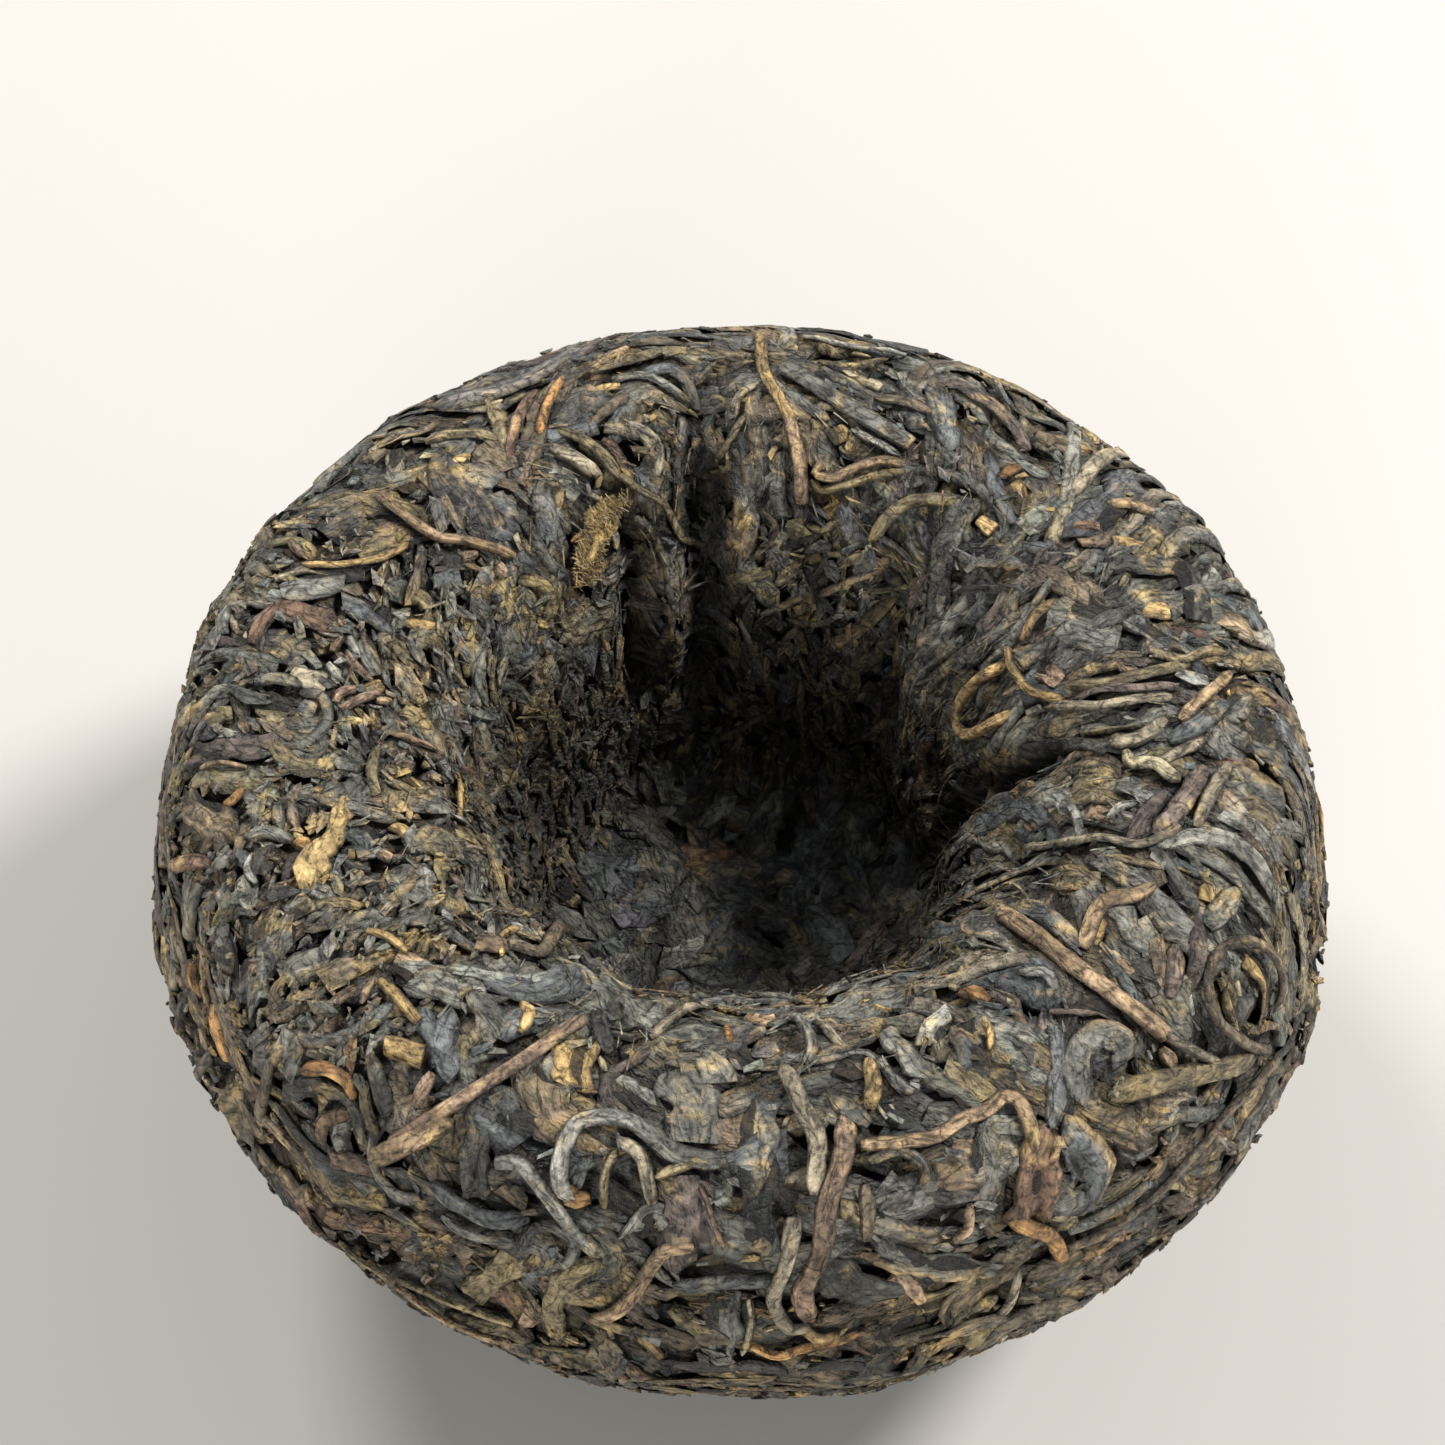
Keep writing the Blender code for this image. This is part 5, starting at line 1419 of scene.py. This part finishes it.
class Graph:
    """Short ways to add and join shader nodes."""

    def __init__(self, material):
        self.nodes = material.node_tree.nodes
        self.links = material.node_tree.links

    def add(self, kind, **values):
        node = self.nodes.new(kind)
        for key, value in values.items():
            setattr(node, key, value)
        return node

    def join(self, source, target):
        self.links.new(source, target)

    def noise(self, vector, scale, detail, roughness, kind="FBM", distortion=0.0):
        node = self.add("ShaderNodeTexNoise", noise_type=kind)
        node.inputs["Scale"].default_value = scale
        node.inputs["Detail"].default_value = detail
        node.inputs["Roughness"].default_value = roughness
        node.inputs["Distortion"].default_value = distortion
        if kind != "FBM":
            node.inputs["Offset"].default_value = 1.0
            node.inputs["Gain"].default_value = 1.0
        self.join(vector, node.inputs["Vector"])
        return node.outputs["Fac"]

    def spread(self, value, low, high, to_low, to_high, smooth=False):
        node = self.add("ShaderNodeMapRange")
        if smooth:
            node.interpolation_type = "SMOOTHSTEP"
        node.inputs["From Min"].default_value = low
        node.inputs["From Max"].default_value = high
        node.inputs["To Min"].default_value = to_low
        node.inputs["To Max"].default_value = to_high
        self.join(value, node.inputs["Value"])
        return node.outputs["Result"]

    def math(self, operation, first, second):
        node = self.add("ShaderNodeMath", operation=operation)
        self.join(first, node.inputs[0])
        if isinstance(second, float):
            node.inputs[1].default_value = second
        else:
            self.join(second, node.inputs[1])
        return node.outputs["Value"]


# Dry leaf: how rough it is, how deep its finest relief goes, and that relief's grain along and across
ROUGHNESS = 0.5
RELIEF_DEPTH = 0.5
GRAIN_ALONG = 1.3
GRAIN_ACROSS = 0.5


def tea_material():
    """Dry leaf: its own colour, mottled with ochre dust, with painted shade in its lengthwise creases."""
    material = bpy.data.materials.new("dry_leaf")
    material.use_nodes = True
    graph = Graph(material)
    shader = graph.nodes["Principled BSDF"]
    shader.inputs["Specular IOR Level"].default_value = 0.45
    tone = graph.add("ShaderNodeAttribute", attribute_name="tone")
    strand = graph.add("ShaderNodeAttribute", attribute_name="strand")
    light = graph.add("ShaderNodeAttribute", attribute_name="light")
    place = graph.add("ShaderNodeTexCoord")
    stretch = graph.add("ShaderNodeMapping")
    stretch.inputs["Scale"].default_value = (1.0 / GRAIN_ALONG, 1.0 / GRAIN_ACROSS, 1.0)
    graph.join(strand.outputs["Vector"], stretch.inputs["Vector"])
    along = stretch.outputs["Vector"]
    spot = place.outputs["Object"]

    # Relief: lengthwise creases, puckers, fibres and grain
    ridges = graph.noise(along, 0.65, 2.6, 0.55, "RIDGED_MULTIFRACTAL", 0.8)
    crinkle = graph.spread(ridges, 0.35, 1.7, 0.36, 0.0)
    shaded_crease_lines = graph.spread(ridges, 1.2, 1.7, 1.0, 0.6, True)
    pucker = graph.noise(spot, 900.0, 3.2, 0.6, "RIDGED_MULTIFRACTAL", 0.8)
    pucker = graph.spread(pucker, 0.35, 1.8, 0.44, 0.0)
    bend = graph.noise(along, 0.7, 2.0, 0.5, "FBM", 1.5)
    pucker = graph.math("ADD", pucker, graph.spread(bend, 0.34, 0.66, 0.0, 0.28))
    fibre = graph.spread(graph.noise(along, 2.4, 3.0, 0.6), 0.36, 0.64, 0.0, 0.07)
    grain = graph.spread(graph.noise(spot, 5200.0, 3.0, 0.7), 0.36, 0.64, 0.0, 0.18)
    height = graph.math("ADD", graph.math("ADD", crinkle, pucker), graph.math("ADD", fibre, grain))
    height = graph.math("ADD", height, graph.math("MULTIPLY", shaded_crease_lines, 0.12))

    # Brightness: painted shade in the creases and along the crease lines, cloudy tone, and painted shade
    # where little light comes in
    crease_shade = graph.spread(height, 0.5, 1.3, 0.48, 2.3)
    mottle = graph.noise(spot, 420.0, 4.0, 0.65)
    cloud = graph.spread(mottle, 0.38, 0.62, 0.68, 1.32)
    bright = graph.math("MULTIPLY", graph.math("MULTIPLY", crease_shade, cloud), light.outputs["Fac"])
    # Painted shade: the colour is darker along the crease lines
    bright = graph.math("MULTIPLY", bright, shaded_crease_lines)

    # Ochre dust in patches and streaks, more on the leaf's high places
    patch = graph.noise(spot, 340.0, 5.0, 0.62, "FBM", 0.8)
    streak = graph.noise(along, 0.8, 4.0, 0.7)
    amount = graph.math("ADD", graph.math("MULTIPLY", patch, 0.86), graph.math("MULTIPLY", streak, 0.14))
    amount = graph.math("ADD", amount, graph.math("MULTIPLY", tone.outputs["Alpha"], 0.14))
    amount = graph.math("ADD", amount, graph.math("MULTIPLY", height, 0.07))
    amount = graph.spread(amount, 0.62, 0.82, 0.0, 0.82)
    mix = graph.add("ShaderNodeMix", data_type="RGBA")
    graph.join(amount, mix.inputs["Factor"])
    graph.join(tone.outputs["Color"], mix.inputs["A"])
    mix.inputs["B"].default_value = OCHRE
    shaded = graph.add("ShaderNodeVectorMath", operation="SCALE")
    graph.join(mix.outputs["Result"], shaded.inputs[0])
    graph.join(bright, shaded.inputs["Scale"])
    graph.join(shaded.outputs["Vector"], shader.inputs["Base Color"])

    rough = graph.spread(mottle, 0.3, 0.7, ROUGHNESS - 0.1, ROUGHNESS + 0.14)
    graph.join(rough, shader.inputs["Roughness"])
    bumps = graph.add("ShaderNodeBump")
    bumps.inputs["Strength"].default_value = 1.0
    bumps.inputs["Distance"].default_value = RELIEF_DEPTH * MM
    graph.join(height, bumps.inputs["Height"])
    graph.join(bumps.outputs["Normal"], shader.inputs["Normal"])
    return material


FLOOR_SIDE = 3.0
FLOOR_COLOUR = (0.46, 0.445, 0.42, 1)
SKY_COLOUR = (0.94, 0.97, 0.99, 1)
SKY_STRENGTH = 0.39
LAMP_COLOUR = (1.0, 0.98, 0.95)
LAMP_TARGET = Vector((0.0, 0.0, 0.025))

# Lamps in metres: name, energy, size and place
LAMPS = (
    ("key", 3.9, 0.13, (0.34, 0.12, 0.42)),
    ("front", 1.5, 0.22, (-0.12, -0.46, 0.16)),
    ("back", 2.8, 0.17, (-0.24, 0.36, 0.42)),
)
SENSOR_WIDTH = 36.0


def make_floor():
    mesh = bpy.data.meshes.new("floor")
    corners = [(-1, -1), (1, -1), (1, 1), (-1, 1)]
    mesh.from_pydata([(FLOOR_SIDE * x, FLOOR_SIDE * y, 0) for x, y in corners], [], [(0, 1, 2, 3)])
    floor = bpy.data.objects.new("floor", mesh)
    bpy.context.scene.collection.objects.link(floor)
    material = bpy.data.materials.new("floor")
    material.use_nodes = True
    shader = material.node_tree.nodes["Principled BSDF"]
    shader.inputs["Base Color"].default_value = FLOOR_COLOUR
    shader.inputs["Roughness"].default_value = 0.9
    mesh.materials.append(material)


def make_lights():
    world = bpy.data.worlds.new("studio")
    bpy.context.scene.world = world
    world.use_nodes = True
    sky = world.node_tree.nodes["Background"]
    sky.inputs["Color"].default_value = SKY_COLOUR
    sky.inputs["Strength"].default_value = SKY_STRENGTH
    for name, energy, size, place in LAMPS:
        light = bpy.data.lights.new(name, "AREA")
        light.shape = "DISK"
        light.energy = energy
        light.size = size
        light.color = LAMP_COLOUR
        lamp = bpy.data.objects.new(name, light)
        bpy.context.scene.collection.objects.link(lamp)
        lamp.location = place
        lamp.rotation_euler = (LAMP_TARGET - Vector(place)).to_track_quat("-Z", "Y").to_euler()
    bpy.context.scene.view_settings.view_transform = "Standard"


def make_camera():
    """The photograph's camera, aimed a little above its target, which shows below the middle."""
    camera = bpy.data.cameras.new("camera")
    camera.sensor_width = SENSOR_WIDTH
    camera.lens = SENSOR_WIDTH * FOCAL_PIXELS / IMAGE_SIDE
    camera.clip_start = 0.01
    camera.clip_end = 10.0
    eye = bpy.data.objects.new("camera", camera)
    bpy.context.scene.collection.objects.link(eye)
    place, tilt = camera_place()
    eye.location = place * MM
    eye.rotation_euler = (math.pi / 2 - tilt, 0.0, 0.0)
    bpy.context.scene.camera = eye


def lay_tea():
    """All layers, from the core up. Each leaf layer is one mesh, and so is each kind of bit."""
    chance = np.random.default_rng(SEED)
    place = sight()
    spread_dust(place)
    leaf = tea_material()
    make_core(leaf)
    low = Piece("leaf_low")
    lay_leaves(low, chance, levels=(-1.5, -0.9), tries=4000, widths=(1.8, 4.2), lengths=(3, 8),
               most_overlap=0.5, cell=1.1, relief=0.1)
    lay_flat(low, Floor, chance, count=90, radius=12.6, levels=(-1.1, -0.7), place=HOLLOW)
    low.make(leaf)
    middle = Piece("leaf_middle")
    lay_leaves(middle, chance, levels=(-1.1, -0.45), tries=8600, widths=(1.5, 4.4), lengths=(3.2, 9),
               most_overlap=0.5, cell=0.86, relief=0.24)
    lay_flat(middle, Floor, chance, count=210, radius=12.6, levels=(-0.6, -0.1), place=HOLLOW)
    lay_flat(middle, Under, chance, count=130, radius=13.5, levels=(-0.5, 0.0), place=UNDERSIDE)
    middle.make(leaf)
    stems, leaves = Piece("traced_stems"), Piece("traced_leaves")
    pieces = {kind: stems if kind in ROUND_KINDS else leaves for kind in KINDS}
    buds = lay_traced(place, pieces, np.random.default_rng(SEED + 1))
    stems.make(leaf)
    leaves.make(leaf)
    top = Piece("leaf_top")
    lay_leaves(top, chance, levels=(-0.7, -0.1), tries=14000, widths=(0.8, 3.8), lengths=(2.8, 12),
               most_overlap=0.3, cell=0.41, relief=0.26, clear=True)
    top.make(leaf)
    strands = Piece("strands")
    lay_leaves(strands, chance, levels=(-0.4, 0.05), tries=2200, widths=(0.9, 2.0), lengths=(6, 16),
               most_overlap=0.14, cell=0.38, relief=0.16, blunt=(0.2, 0.6), thick=(0.25, 0.5),
               rough=0.12, clear=True, hooks=0.15, top=0.3)
    strands.make(leaf)
    lay_fuzz("fuzz", chance, buds, 500, leaf)
    lay_gold("gold_bits", chance, 16000, leaf)
    lay_flakes("flakes", chance, 1900, (-0.5, 0.0), (1.6, 4.2), leaf)
    lay_chips("chips", chance, 6000, (-0.4, 0.0), (0.5, 1.7), leaf)
    lay_crumbs("crumbs", chance, 5000, (-0.8, -0.1), (0.4, 1.5), (0.2, 0.5), leaf, tilt=0.12)
    lay_crumbs("fibres", chance, 900, (-0.1, 0.2), (0.7, 2.2), (0.04, 0.09), leaf, low=22, high=46,
               tilt=0.22, top=0.5)


make_floor()
make_lights()
make_camera()
lay_tea()
